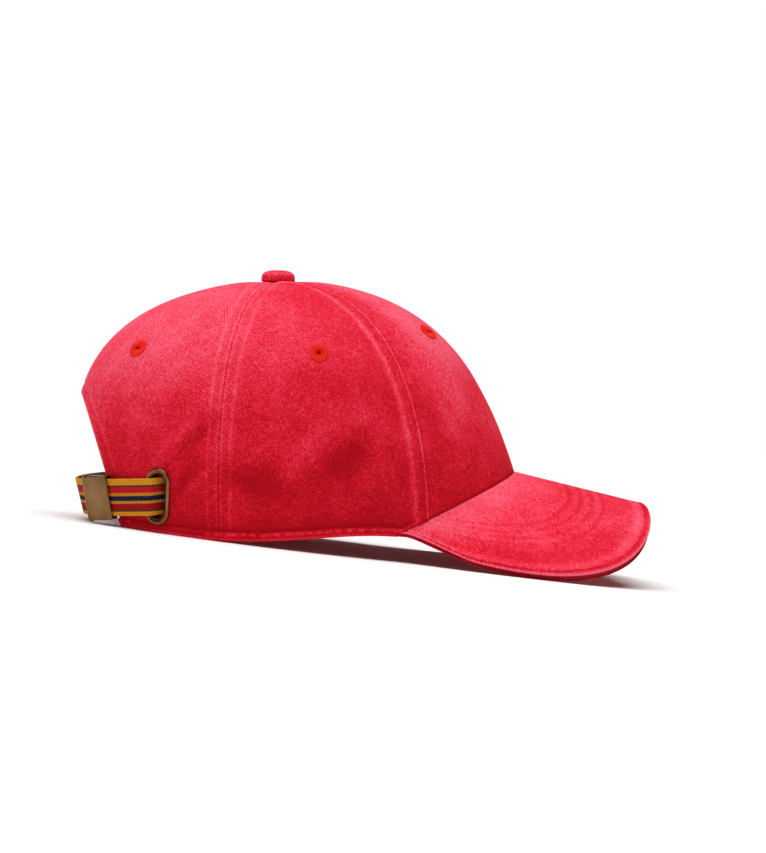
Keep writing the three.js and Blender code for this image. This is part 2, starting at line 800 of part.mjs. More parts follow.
// Finishes
const finishes = {
  twill: { color: 0xb3122c, roughness: 0.9, metalness: 0 },
  band: { color: 0xa8142a, roughness: 0.9, metalness: 0 },
  strip: { color: 0x8c1224, roughness: 0.9, metalness: 0 },
  thread: { color: 0xe03a28, roughness: 0.7, metalness: 0 },
  webbing: { color: 0xb98a2c, roughness: 0.8, metalness: 0 },
  brass: { color: 0x8a6a3a, roughness: 0.45, metalness: 1 },
};

const cap = new THREE.Group();
function add(name, geometry, finish) {
  geometry.computeVertexNormals();
  const mesh = new THREE.Mesh(geometry, new THREE.MeshStandardMaterial(finishes[finish]));
  mesh.name = name;
  cap.add(mesh);
}

const grommetFrame = crownFrame(grommetAngle, strapTime(grommetAngle));
const places = ['front', 'side', 'back'];
for (const [sideName, sign] of [['left', 1], ['right', -1]]) {
  places.forEach((placeName, place) => {
    const tools = [holeCutter(eyeletFrame(place, sign, 0), eyeletNeck)];
    if (placeName === 'back' && sideName === 'right') {
      tools.push(grommetCutter(grommetFrame));
    }
    add(`crown_${placeName}_${sideName}`, cut(panelGeometry(place, sign), ...tools), 'twill');
    add(`eyelet_${placeName}_${sideName}`, eyeletGeometry(eyeletFrame(place, sign, 0)), 'thread');
  });
}
add('top_button', buttonGeometry(), 'twill');
add('sweatband', bandGeometry(), 'band');
add('visor_top', visorLayer(visorTopSection), 'twill');
add('visor_sandwich', visorLayer(visorStripSection, visorStripSkip), 'strip');
add('visor_under', visorLayer(visorUnderSection), 'twill');
add('strap', stripGeometry(strapStations(), strapWidth, strapThickness), 'webbing');
add('strap_grommet', grommetGeometry(grommetFrame), 'brass');
add('clasp_frame', claspFrameGeometry(), 'brass');
add('clasp_pin', claspPinGeometry(), 'brass');
add('clasp_lever', claspLeverGeometry(), 'brass');
add('clasp_tab', claspTabGeometry(), 'twill');

// Setting down: level the rest plane, then stand the cap on z = 0 with its box centred on the origin
cap.rotation.y = -Math.atan(restSlope);
cap.updateMatrixWorld(true);
const extent = new THREE.Box3().setFromObject(cap, true);
cap.position.set(-(extent.min.x + extent.max.x) / 2, -(extent.min.y + extent.max.y) / 2, -extent.min.z);
cap.updateMatrixWorld(true);

export default cap;
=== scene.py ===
"""Visual model of a washed red six-panel cap with a striped strap and brass fittings.

The cap's formulas repeat those of the part's source in millimetres, in the worn position, and every
mesh is then turned and moved into the part's frame in metres, resting on z = 0.
"""

import logging
from dataclasses import dataclass
from enum import Enum
from functools import cached_property
from math import atan, cos, pi, radians, sin, tan
from typing import Callable

import bpy
import numpy as np
from mathutils import Matrix, Vector


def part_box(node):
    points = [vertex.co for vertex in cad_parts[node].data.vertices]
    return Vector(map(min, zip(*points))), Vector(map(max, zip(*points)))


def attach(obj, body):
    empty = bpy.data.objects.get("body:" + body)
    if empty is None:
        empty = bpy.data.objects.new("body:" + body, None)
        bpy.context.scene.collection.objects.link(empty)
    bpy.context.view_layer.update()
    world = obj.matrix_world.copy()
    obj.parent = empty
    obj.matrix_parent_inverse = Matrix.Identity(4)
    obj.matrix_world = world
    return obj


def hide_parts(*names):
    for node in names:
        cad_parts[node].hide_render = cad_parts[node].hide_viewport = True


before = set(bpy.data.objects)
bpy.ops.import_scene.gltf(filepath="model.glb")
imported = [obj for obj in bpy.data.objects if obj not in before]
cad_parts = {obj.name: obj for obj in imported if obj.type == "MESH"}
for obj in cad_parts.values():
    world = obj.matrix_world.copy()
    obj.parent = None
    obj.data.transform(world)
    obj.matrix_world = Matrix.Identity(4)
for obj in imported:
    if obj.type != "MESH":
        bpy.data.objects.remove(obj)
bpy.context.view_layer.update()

log = logging.getLogger("cap")

Array = np.ndarray
Socket = bpy.types.NodeSocket
MM = 0.001
FULL_TURN = 2.0 * pi
# Scale at which a wave texture's bands lie one unit apart.
WAVE_SCALE = 1.0 / 3.2


class Side(Enum):
    """Side of the cap, as the sign of Y."""

    LEFT = 1
    RIGHT = -1


class Place(Enum):
    """Place of a crown panel, counted from the front."""

    FRONT = 0
    SIDE = 1
    BACK = 2


def smoothstep(value: Array, low: float, high: float) -> Array:
    """Smooth rise from 0 at low to 1 at high, or a fall where low is the larger.

    Args:
        value: Numbers to be mapped.
        low: Where the result is 0.
        high: Where the result is 1.

    Returns:
        Share from 0 to 1, as 3 s squared less 2 s cubed.
    """
    share = np.clip((value - low) / (high - low), 0.0, 1.0)
    return share * share * (3.0 - 2.0 * share)


def bump(value: Array, centre: float, width: float) -> Array:
    """Bell curve of height 1: e to the power of minus the squared distance in widths."""
    return np.exp(-(((value - centre) / width) ** 2))


def mix(start: Array, end: Array, share: Array) -> Array:
    """Start at share 0, end at share 1 and a straight line between."""
    return start * (1.0 - share) + end * share


def crowded(share: Array, amount: float) -> Array:
    """Shares moved towards both ends: a mix of the share and its smooth step."""
    return mix(share, smoothstep(share, 0.0, 1.0), amount)


def bezier(points: tuple, share: Array) -> Array:
    """Cubic Bezier curve: the sum of four control values times the Bernstein weights."""
    rest = 1.0 - share
    weights = (rest**3, 3.0 * rest**2 * share, 3.0 * rest * share**2, share**3)
    return sum(weight * point for weight, point in zip(weights, points))


def bezier_slope(points: tuple, share: Array) -> Array:
    """Slope of the curve: 3 times the steps between control values under quadratic weights."""
    rest = 1.0 - share
    weights = (rest**2, 2.0 * rest * share, share**2)
    return 3.0 * sum(weight * (b - a) for weight, a, b in zip(weights, points, points[1:]))


def length_of(vector: Array) -> Array:
    """Length along the last axis: the root of the sum of squares."""
    return np.linalg.norm(vector, axis=-1)


def unit(vector: Array) -> Array:
    """Vectors brought to length 1."""
    return vector / length_of(vector)[..., None]


def joined(*parts: Array) -> Array:
    """Coordinates side by side in a new last axis."""
    return np.stack(np.broadcast_arrays(*parts), axis=-1)


def travelled(points: Array, axis: int = 0) -> Array:
    """Distance covered along one axis of a grid of points: the running sum of its steps."""
    steps = np.diff(points, axis=axis, prepend=np.take(points, [0], axis=axis))
    return np.cumsum(length_of(steps), axis=axis)


def quad_middles(points: Array) -> Array:
    """Middle of each quad of a grid: the mean of its four corners."""
    return (points[:-1, :-1] + points[1:, 1:] + points[:-1, 1:] + points[1:, :-1]) / 4.0


def from_axes(axes: tuple, x: Array, y: Array, z: Array) -> Array:
    """Points at distances x, y and z from an origin along the three axes that follow it."""
    origin, along, up, normal = axes
    return origin + x[..., None] * along + y[..., None] * up + z[..., None] * normal


def halve(low: Array, high: Array, holds: Callable[[Array], Array], turns: int = 34) -> Array:
    """Values at which a condition first holds, by repeated halving.

    Args:
        low: Values where the condition doesn't hold.
        high: Values where it holds.
        holds: Function from values to a truth array.
        turns: Number of halvings.

    Returns:
        The values, as an array.
    """
    low = np.array(low, dtype=float)
    high = np.array(high, dtype=float)
    for _ in range(turns):
        middle = (low + high) / 2.0
        true = holds(middle)
        high = np.where(true, middle, high)
        low = np.where(true, low, middle)
    return high


@dataclass(frozen=True)
class CapShape:
    """Named sizes of the cap in millimetres and degrees, and the surfaces that follow from them."""

    crown_length: float = 212.0
    crown_width: float = 163.0
    crown_height: float = 118.5
    button_setback: float = 12.0
    cloth_wall: float = 1.5
    gap: float = 0.3
    panel_puff: float = 1.4
    puff_start: float = 25.0
    puff_fade: float = 0.6
    panel_tip: float = 3.0
    top_handles: tuple = (0.6, 0.56, 0.54)
    hem_handles: tuple = (0.67, 0.72, 0.85)
    leans: tuple = (-17.5, 4.0, 17.0)
    seam_angles: tuple = (0.0, 57.5, 114.5, 180.0)
    hem_roll: float = 2.0
    hem_rear_height: float = 1.0
    hem_flat_angle: float = 125.0
    hem_rise_ease: float = 1.3
    visor_length: float = 66.0
    visor_width: float = 170.0
    visor_corner_angle: float = 66.0
    visor_corner_out: float = 2.5
    visor_root_height: float = 24.3
    visor_slope: float = 14.0
    visor_arch_radius: float = 79.0
    visor_arch_spread: float = 0.26
    visor_tip_handle: float = 0.94
    visor_side_handle: float = 1.16
    visor_side_forward: float = 0.86
    visor_roll: float = 1.7
    visor_strip: float = 1.7
    visor_under: float = 1.1
    visor_strip_depth: float = 4.0
    visor_strip_inset: float = 0.4
    visor_upright_reach: float = 25.0
    visor_thin_start: float = 0.78
    visor_thin_end: float = 0.45
    arch_half_width: float = 42.0
    arch_height: float = 63.0
    arch_roundness: float = 2.3
    strap_height: float = 12.6
    strap_rise: float = 0.03
    strap_corner_time: float = 0.97
    strap_far_angle: float = 60.0
    edge_samples: int = 29

    @property
    def visor_depth(self) -> float:
        """Thickness of the visor with its layers and gaps."""
        return self.visor_roll + self.visor_strip + self.visor_under + 2.0 * self.gap

    def hem_plan(self, angle: Array) -> Array:
        """Plan point of the hem oval: the button axis is the origin, and the oval stands forward."""
        x = self.button_setback + self.crown_length / 2.0 * np.cos(angle)
        return joined(x, self.crown_width / 2.0 * np.sin(angle))

    @property
    def corner_angle(self) -> float:
        """Hem angle of the visor's corner in radians."""
        return radians(self.visor_corner_angle)

    @property
    def visor_corner(self) -> Array:
        """Plan point of the hem where the visor's corner is sewn in."""
        return self.hem_plan(self.corner_angle)

    def visor_surface(self, x: Array, y: Array) -> Array:
        """Height of the visor's top: a sloping centre line less the sag of an arch that opens forward."""
        radius = self.visor_arch_radius + self.visor_arch_spread * (x - self.visor_corner[0])
        sag = y**2 / (2.0 * radius) + y**4 / (8.0 * radius**3)
        run = x - self.hem_plan(0.0)[0]
        return self.visor_root_height - tan(radians(self.visor_slope)) * run - sag

    def visor_edge(self, share: Array) -> Array:
        """Plan point of the visor's outer edge, a Bezier curve from its tip to each corner."""
        tip = self.hem_plan(0.0)[0] + self.visor_length
        corner_x, corner_y = self.visor_corner
        half = self.visor_width / 2.0
        forward = mix(corner_x, tip, self.visor_side_forward)
        size = np.abs(share)
        x = bezier((tip, tip, forward, corner_x), size)
        handles = (self.visor_tip_handle * half, self.visor_side_handle * half)
        y = bezier((0.0, *handles, corner_y + self.visor_corner_out), size)
        return joined(x, np.sign(share) * y)

    def corner_share(self, share: Array) -> Array:
        """Share of the way from the visor's full thickness to its thin corner."""
        return smoothstep(np.abs(share), self.visor_thin_start, 1.0)

    def visor_point(self, share: Array, reach: Array, depth: Array) -> Array:
        """Point of the visor.

        Args:
            share: From -1 to 1 across the visor.
            reach: From 0 at the crown to 1 at the edge.
            depth: Depth below the top, upright near the crown and square to the surface beyond.

        Returns:
            Points in millimetres in the worn position.
        """
        share, reach, depth = np.broadcast_arrays(share, reach, depth)
        depth = depth * mix(1.0, self.visor_thin_end, self.corner_share(share))
        hem = self.hem_plan(share * self.corner_angle)
        start = hem - self.cloth_wall * unit(hem - np.array([self.button_setback, 0.0]))
        edge = self.visor_edge(share)
        plan = mix(start, edge, reach[..., None])
        x, y = plan[..., 0], plan[..., 1]
        step = 0.5
        slope_x = self.visor_surface(x + step, y) - self.visor_surface(x - step, y)
        slope_y = self.visor_surface(x, y + step) - self.visor_surface(x, y - step)
        normal = unit(joined(-slope_x, -slope_y, 2.0 * step))
        blend = smoothstep(reach * length_of(edge - start), 0.0, self.visor_upright_reach)
        down = unit(mix(np.array([0.0, 0.0, 1.0]), normal, blend[..., None]))
        return joined(x, y, self.visor_surface(x, y)) - down * depth[..., None]

    @property
    def rest_pivot(self) -> tuple:
        """X and height of the rear hem on the rest plane."""
        return self.button_setback - self.crown_length / 2.0, self.hem_rear_height

    @cached_property
    def rest_slope(self) -> float:
        """Slope of the rest plane, which touches the visor's lowest edge from below."""
        low = self.visor_point(np.linspace(-1.0, 1.0, self.edge_samples), 1.0, self.visor_depth)
        pivot_x, pivot_z = self.rest_pivot
        return float(np.max((pivot_z - low[:, 2]) / (low[:, 0] - pivot_x)))

    def rest_height(self, x: Array) -> Array:
        """Height of the rest plane in the worn position."""
        pivot_x, pivot_z = self.rest_pivot
        return pivot_z - self.rest_slope * (x - pivot_x)

    def hem_height(self, angle: Array) -> Array:
        """Height of the lower edge of the crown's cloth, level behind and up to the visor in front."""
        size = np.abs(angle)
        plan = self.hem_plan(angle)
        above_rest = self.hem_roll + self.gap
        resting = self.rest_height(plan[..., 0]) + above_rest
        corner_x, corner_y = self.visor_corner
        top = self.visor_surface(corner_x, corner_y) + self.gap
        rise = top - (self.rest_height(corner_x) + above_rest)
        ease = smoothstep(size, radians(self.hem_flat_angle), self.corner_angle) ** self.hem_rise_ease
        on_visor = self.visor_surface(plan[..., 0], plan[..., 1]) + self.gap
        return np.where(size < self.corner_angle, on_visor, resting + rise * ease)

    def panel_share(self, angle: Array) -> Array:
        """Share of the way across its own panel."""
        degrees = np.minimum(np.degrees(np.abs(angle)), 180.0)
        bounds = np.array(self.seam_angles)
        place = np.clip(np.searchsorted(bounds, degrees, side="right") - 1, 0, 2)
        return (degrees - bounds[place]) / (bounds[place + 1] - bounds[place])

    def crown_point(self, angle: Array, down: Array, depth: Array | float = 0.0) -> Array:
        """Point of the crown: a Bezier profile from button to hem, turned round the button axis.

        Args:
            angle: Angle on the hem oval from the centre front, in radians.
            down: Profile parameter from 0 at the button to 1 at the hem.
            depth: Depth below the outer face.

        Returns:
            Points in millimetres in the worn position.
        """
        numbers = (np.asarray(value, dtype=float) for value in (angle, down, depth))
        angle, down, depth = np.broadcast_arrays(*numbers)
        hem = self.hem_plan(angle)
        reach = length_of(hem)
        forward = np.cos(angle)
        weights = (np.maximum(forward, 0.0) ** 2, 1.0 - forward**2, np.minimum(forward, 0.0) ** 2)
        top_handle, hem_handle, lean = (
            sum(weight * value for weight, value in zip(weights, values))
            for values in (self.top_handles, self.hem_handles, np.radians(self.leans))
        )
        low = self.hem_height(angle)
        handle = hem_handle * (self.crown_height - low)
        top = np.full_like(reach, self.crown_height)
        xs = (np.zeros_like(reach), top_handle * reach, reach + np.sin(lean) * handle, reach)
        zs = (top, top, low + np.cos(lean) * handle, low)
        x, z = bezier(xs, down), bezier(zs, down)
        run_x, run_z = bezier_slope(xs, down), bezier_slope(zs, down)
        length = np.hypot(run_x, run_z)
        puff = self.panel_puff * np.sin(pi * self.panel_share(angle)) * smoothstep(x, 0.0, self.puff_start)
        out = puff * smoothstep(down, 1.0, self.puff_fade) - depth
        radial = (x - run_z / length * out) / reach
        return joined(hem[..., 0] * radial, hem[..., 1] * radial, z + run_x / length * out)

    def crown_frame(self, angle: Array, down: Array) -> tuple:
        """Origins and axes on the crown: along the hem, up the panel and outwards.

        Args:
            angle: Angle on the hem oval.
            down: Profile parameter.

        Returns:
            Origins and three unit axes, from central differences of the surface.
        """
        step = 0.01
        origin = self.crown_point(angle, down)
        along = unit(self.crown_point(angle + step, down) - self.crown_point(angle - step, down))
        up = self.crown_point(angle, down - step) - self.crown_point(angle, down + step)
        normal = unit(np.cross(along, up))
        inwards = np.sum(normal[..., :2] * origin[..., :2], axis=-1, keepdims=True) < 0.0
        normal = np.where(inwards, -normal, normal)
        return origin, along, np.cross(normal, along), normal

    def time_at(self, angle: Array, height: Array) -> Array:
        """Profile parameter at which the crown comes down to a height."""
        zeros = np.zeros_like(np.asarray(angle, dtype=float))
        return halve(zeros, zeros + 1.0, lambda down: self.crown_point(angle, down)[..., 2] < height)

    @cached_property
    def arch_top(self) -> float:
        """Profile parameter of the top of the opening at the back."""
        return float(self.time_at(pi, self.hem_rear_height + self.arch_height))

    def arch_half_width_at(self, height: Array) -> Array:
        """Half width of the opening at a height: a superellipse."""
        share = np.clip((height - self.hem_rear_height) / self.arch_height, 0.0, 1.0)
        return self.arch_half_width * (1.0 - share**self.arch_roundness) ** (1.0 / self.arch_roundness)

    def arch_distance(self, point: Array) -> Array:
        """Distance from the opening's edge, as the superellipse's value less 1 over its gradient."""
        power, tiny = self.arch_roundness, 1e-6
        y = (np.abs(point[..., 1]) + tiny) / self.arch_half_width
        z = np.maximum(point[..., 2] - self.hem_rear_height, tiny) / self.arch_height
        value = (y**power + z**power) ** (1.0 / power)
        slope_y = value ** (1.0 - power) * y ** (power - 1.0) / self.arch_half_width
        slope_z = value ** (1.0 - power) * z ** (power - 1.0) / self.arch_height
        return (value - 1.0) / np.hypot(slope_y, slope_z)

    def opening_angle(self, down: Array) -> Array:
        """Angle at which the opening's edge crosses a profile parameter, found by halving."""
        down = np.asarray(down, dtype=float)

        def inside(angle: Array) -> Array:
            """True within the opening."""
            point = self.crown_point(angle, down)
            return np.abs(point[..., 1]) < self.arch_half_width_at(point[..., 2])

        start = np.full_like(down, radians(self.seam_angles[2]))
        found = halve(start, np.full_like(down, pi), inside)
        return np.where(down <= self.arch_top, pi, found)

    def strap_time(self, angle: Array) -> Array:
        """Profile parameter of the strap's line at a hem angle: a height that rises forwards."""
        pivot_x, pivot_z = self.rest_pivot
        forward = self.hem_plan(angle)[..., 0] - pivot_x
        return self.time_at(angle, pivot_z + self.strap_height + self.strap_rise * forward)

    def strap_frame(self, angle: Array) -> tuple:
        """Origins and axes along the strap's line."""
        return self.crown_frame(angle, self.strap_time(angle))

    def angle_from_corner(self, distance: float) -> float:
        """Hem angle at a distance along the strap from the opening's corner, positive forwards."""
        corner = float(self.opening_angle(self.strap_corner_time))
        towards = radians(self.seam_angles[1] if distance > 0 else 180.0 + self.strap_far_angle)
        origin = self.crown_point(corner, self.strap_time(corner))

        def beyond(angle: Array) -> Array:
            """True past the distance."""
            return length_of(self.crown_point(angle, self.strap_time(angle)) - origin) > abs(distance)

        return float(halve(corner, towards, beyond))

    def right_angle_from_corner(self, distance: float) -> float:
        """The same angle on the right side of the cap, as a full turn less the left one."""
        return FULL_TURN - self.angle_from_corner(distance)


SHAPE = CapShape()


class RestFrame:
    """Turn and move from the worn position in millimetres to the part's frame in metres."""

    def __init__(self, shape: CapShape) -> None:
        """Works out the turn from the rest plane and the move from the visor's box.

        Args:
            shape: Sizes of the cap.
        """
        self.turn = -atan(shape.rest_slope)
        pivot_x, pivot_z = shape.rest_pivot
        self.drop = self.turned(np.array([[pivot_x, 0.0, pivot_z]]))[0, 2]
        edge = shape.visor_point(np.linspace(-1.0, 1.0, shape.edge_samples), 1.0, 0.0)
        self.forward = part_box("visor_top")[1][0] / MM - self.turned(edge)[:, 0].max()

    def turned(self, points: Array) -> Array:
        """Points turned about the Y axis."""
        cosine, sine = cos(self.turn), sin(self.turn)
        x, y, z = points[..., 0], points[..., 1], points[..., 2]
        return joined(x * cosine + z * sine, y, -x * sine + z * cosine)

    def place(self, points: Array) -> Array:
        """Points in metres in the part's frame."""
        return (self.turned(points) + np.array([self.forward, 0.0, -self.drop])) * MM


REST = RestFrame(SHAPE)


@dataclass(frozen=True)
class Dress:
    """What a new piece is called, stands for and is finished with."""

    name: str
    node: str
    material: str
    slot: str


@dataclass
class Grid:
    """A surface of rows and columns of points in millimetres, with weave coordinates, and worn colour with
    painted light and shade.
    """

    points: Array
    weave: Array | None = None
    wear: Array | float = 0.0
    keep: Array | None = None

    def __post_init__(self) -> None:
        """Fills in weave coordinates of 0 and spreads the worn colour and painted light over all points."""
        shape = self.points.shape[:2]
        if self.weave is None:
            self.weave = np.zeros((*shape, 2))
        self.wear = np.broadcast_to(self.wear, shape)


def end_cap(ring: Array, wear: float) -> Grid:
    """Flat end of a tube: the first half of its ring joined to the second half, taken backwards."""
    half = len(ring) // 2
    return Grid(np.stack([ring[:half], ring[::-1][:half]]), None, wear)


def build_object(grids: list, dress: Dress, is_loop: bool = False, sharp: float = 50.0) -> None:
    """Makes one object from grids of points.

    Args:
        grids: Grids, each with points of shape (rows, columns, 3).
        dress: Name, node, material and slot.
        is_loop: True where the last column joins the first.
        sharp: Angle in degrees above which an edge is sharp.
    """
    faces = []
    start = 0
    for grid in grids:
        rows, columns = grid.points.shape[:2]
        index = np.arange(rows * columns).reshape(rows, columns)
        if is_loop:
            index = np.concatenate([index, index[:, :1]], axis=1)
        quads = np.stack([index[:-1, :-1], index[:-1, 1:], index[1:, 1:], index[1:, :-1]], axis=-1)
        chosen = quads.reshape(-1, 4) if grid.keep is None else quads[grid.keep]
        faces.append(chosen + start)
        start += rows * columns
    points = REST.place(np.concatenate([grid.points.reshape(-1, 3) for grid in grids]))
    weave = np.concatenate([grid.weave.reshape(-1, 2) for grid in grids])
    wear = np.concatenate([grid.wear.reshape(-1) for grid in grids])
    quads = np.concatenate(faces)
    mesh = bpy.data.meshes.new(dress.name)
    mesh.vertices.add(len(points))
    mesh.vertices.foreach_set("co", points.astype(np.float32).ravel())
    mesh.loops.add(quads.size)
    mesh.loops.foreach_set("vertex_index", quads.astype(np.int32).ravel())
    mesh.polygons.add(len(quads))
    mesh.polygons.foreach_set("loop_start", np.arange(0, quads.size, 4, dtype=np.int32))
    mesh.polygons.foreach_set("use_smooth", np.ones(len(quads), dtype=bool))
    mesh.update(calc_edges=True)
    layer = mesh.uv_layers.new(name="weave")
    layer.data.foreach_set("uv", weave[quads.ravel()].astype(np.float32).ravel())
    values = mesh.attributes.new("wear", "FLOAT", "POINT")
    values.data.foreach_set("value", wear.astype(np.float32))
    mesh.set_sharp_from_angle(angle=radians(sharp))
    mesh.validate()
    made = bpy.data.objects.new(dress.name, mesh)
    bpy.context.scene.collection.objects.link(made)
    mesh.materials.append(bpy.data.materials[dress.material])
    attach(made, "cap")
    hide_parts(dress.node)
    log.info("%s: %d faces", dress.name, len(quads))


class NodeKit:
    """Short calls that add nodes to one tree."""

    def __init__(self, tree: bpy.types.NodeTree) -> None:
        """Keeps the tree.

        Args:
            tree: The node tree of a material or world.
        """
        self.tree = tree

    def node(self, kind: str, inputs: dict | None = None, **facts: object) -> bpy.types.Node:
        """Adds a node.

        Args:
            kind: The node's type without its ShaderNode prefix.
            inputs: Values or sockets for its inputs, by name or number.
            **facts: Its properties.

        Returns:
            The node.
        """
        made = self.tree.nodes.new(f"ShaderNode{kind}")
        for key, value in facts.items():
            setattr(made, key, value)
        for key, value in (inputs or {}).items():
            if isinstance(value, Socket):
                self.tree.links.new(value, made.inputs[key])
            else:
                made.inputs[key].default_value = value
        return made

    def wear(self) -> Socket:
        """The mesh's worn colour with its painted light and shade."""
        return self.node("Attribute", attribute_name="wear").outputs["Fac"]

    def weave(self) -> Socket:
        """The mesh's weave coordinates in millimetres."""
        return self.node("UVMap", uv_map="weave").outputs["UV"]

    def noise(self, scale: float, detail: float, rough: float) -> Socket:
        """Noise from 0 to 1: cells per metre, octaves and the share of each finer octave."""
        place = self.node("TexCoord").outputs["Object"]
        inputs = {"Vector": place, "Scale": scale, "Detail": detail, "Roughness": rough}
        return self.node("TexNoise", inputs).outputs["Fac"]

    def wave(self, vector: Socket, scale: float, distortion: float, fineness: float = 1.0) -> Socket:
        """Bands across X from 0 to 1, distorted by noise of a fineness."""
        inputs = {"Vector": vector, "Scale": scale, "Distortion": distortion, "Detail Scale": fineness}
        return self.node("TexWave", inputs, wave_type="BANDS", bands_direction="X").outputs["Fac"]

    def add(self, first: Socket, *others: Socket) -> Socket:
        """Sum of numbers."""
        for other in others:
            first = self.node("Math", {0: first, 1: other}, operation="ADD").outputs[0]
        return first

    def scaled(self, value: Socket, times: float, plus: float = 0.0) -> Socket:
        """A number times a factor plus a constant."""
        return self.node("Math", {0: value, 1: times, 2: plus}, operation="MULTIPLY_ADD").outputs[0]

    def centred(self, value: Socket, times: float) -> Socket:
        """A number from 0 to 1 spread over a range round 0."""
        return self.scaled(value, times, -0.5 * times)

    def multiplied(self, colour: Socket, value: Socket) -> Socket:
        """A colour made lighter or darker by a number."""
        return self.node("VectorMath", {0: colour, "Scale": value}, operation="SCALE").outputs[0]

    def ramp(self, value: Socket, stops: list, kind: str = "LINEAR") -> Socket:
        """Colour ramp.

        Args:
            value: Number from 0 to 1.
            stops: Places and colours.
            kind: Interpolation.

        Returns:
            The colour.
        """
        made = self.node("ValToRGB", {"Fac": value})
        made.color_ramp.interpolation = kind
        elements = made.color_ramp.elements
        while len(elements) < len(stops):
            elements.new(0.5)
        for element, (position, colour) in zip(elements, stops):
            element.position = position
            element.color = (*colour, 1.0)
        return made.outputs["Color"]

    def bump(self, height: Socket, strength: float, distance: float) -> Socket:
        """Normal from a height times a distance in metres."""
        inputs = {"Height": height, "Strength": strength, "Distance": distance}
        return self.node("Bump", inputs).outputs["Normal"]


@dataclass(frozen=True)
class Finish:
    """A finish: a principled shader whose inputs the kinds of finish below work out."""

    name: str

    def surface(self, kit: NodeKit) -> dict:
        """The shader's inputs."""
        raise NotImplementedError

    def build(self) -> None:
        """Makes the material."""
        material = bpy.data.materials.new(self.name)
        material.use_nodes = True
        material.node_tree.nodes.clear()
        kit = NodeKit(material.node_tree)
        shader = kit.node("BsdfPrincipled", self.surface(kit))
        kit.node("OutputMaterial", {"Surface": shader.outputs["BSDF"]})


@dataclass(frozen=True)
class Twill(Finish):
    """Washed twill: deep and bloomed colours, speckle, diagonal weave and nap."""

    deep: tuple
    middle: tuple
    worn: tuple
    bloom_and_sheen: tuple
    speckle: float = 1.0
    pitch: float = 0.9
    slant: float = -0.6
    patch_cells: float = 55.0
    mottle_cells: float = 420.0
    fibre_cells: float = 1500.0

    def surface(self, kit: NodeKit) -> dict:
        """Worn colour with painted light from the mesh, patches, mottle, fibres and ribs are added up and
        looked up in the colours.
        """
        patches = kit.noise(self.patch_cells, 3.0, 0.6)
        mottle = kit.noise(self.mottle_cells, 3.0, 0.6)
        fibre = kit.noise(self.fibre_cells, 2.0, 0.7)
        fine = 1.0 / self.pitch
        turned = {"Vector": kit.weave(), "Rotation": (0.0, 0.0, self.slant), "Scale": (fine,) * 3}
        ribs = kit.wave(kit.node("Mapping", turned).outputs["Vector"], WAVE_SCALE, 1.2, 2.0)
        amount = kit.add(
            kit.wear(),
            kit.centred(patches, 0.5),
            kit.centred(mottle, 0.45 * self.speckle),
            kit.centred(fibre, 1.6 * self.speckle),
            kit.centred(ribs, 0.18 * self.speckle),
        )
        stops = [(0.0, self.deep), (0.3, self.middle), (0.55, self.worn), (1.0, self.bloom_and_sheen)]
        return {
            "Base Color": kit.ramp(amount, stops),
            "Normal": kit.bump(kit.add(kit.scaled(ribs, 0.5), kit.scaled(fibre, 0.9)), 0.6, 0.3 * MM),
            "Roughness": 0.92,
            "Sheen Weight": 0.02,
            "Sheen Roughness": 0.45,
            "Sheen Tint": (1.0, 0.45, 0.5, 1.0),
            "Specular IOR Level": 0.05,
        }


@dataclass(frozen=True)
class Brass(Finish):
    """Antique brass: worn brass over brown tarnish, finely scuffed."""

    name: str = "antique_brass"
    bright: tuple = (0.29, 0.155, 0.06)
    dark: tuple = (0.12, 0.062, 0.024)
    roughness: float = 0.26

    def surface(self, kit: NodeKit) -> dict:
        """Broad patches with fine noise go from tarnish to worn metal."""
        patches = kit.noise(110.0, 3.0, 0.5)
        fine = kit.noise(2600.0, 2.0, 0.6)
        amount = kit.add(kit.scaled(patches, 0.9), kit.centred(fine, 0.2))
        return {
            "Base Color": kit.ramp(amount, [(0.2, self.dark), (0.75, self.bright)]),
            "Normal": kit.bump(kit.add(patches, fine), 0.05, 0.2 * MM),
            "Roughness": self.roughness,
            "Metallic": 1.0,
        }


@dataclass(frozen=True)
class Webbing(Finish):
    """Ribbed webbing striped lengthwise: stripe widths in millimetres across, from one edge."""

    name: str = "striped_webbing"
    mustard: tuple = (0.64, 0.26, 0.012)
    olive: tuple = (0.06, 0.04, 0.016)
    red: tuple = (0.5, 0.006, 0.016)
    dark_red: tuple = (0.33, 0.004, 0.008)
    yellow: tuple = (0.53, 0.2, 0.01)
    navy: tuple = (0.011, 0.013, 0.038)
    rib_pitch: float = 0.9

    def stripes(self) -> list:
        """Widths in millimetres and colours of the stripes."""
        return [
            (2.2, self.mustard),
            (0.9, self.olive),
            (3.0, self.dark_red),
            (1.4, self.yellow),
            (2.3, self.navy),
            (1.5, self.yellow),
            (2.9, self.red),
            (0.9, self.olive),
            (3.2, self.mustard),
        ]

    def surface(self, kit: NodeKit) -> dict:
        """The distance across picks a stripe, and fibres and the mesh's painted shade where the strap goes
        into the slot darken its colour.
        """
        weave = kit.weave()
        lengthwise = kit.node("SeparateXYZ", {"Vector": weave}).outputs["Y"]
        fibre = kit.noise(1800.0, 2.0, 0.6)
        total = sum(width for width, _ in self.stripes())
        across = kit.add(kit.scaled(lengthwise, 1.0 / total), kit.centred(fibre, 0.03))
        stops, edge = [], 0.0
        for width, colour in self.stripes():
            stops.append((edge / total, colour))
            edge += width
        shaded = kit.multiplied(kit.ramp(across, stops, "CONSTANT"), kit.scaled(fibre, 0.5, 0.75))
        ribs = kit.wave(weave, WAVE_SCALE / self.rib_pitch, 0.4)
        return {
            "Base Color": kit.multiplied(shaded, kit.wear()),
            "Normal": kit.bump(kit.add(ribs, kit.scaled(fibre, 0.5)), 0.5, 0.3 * MM),
            "Roughness": 0.8,
            "Specular IOR Level": 0.08,
        }


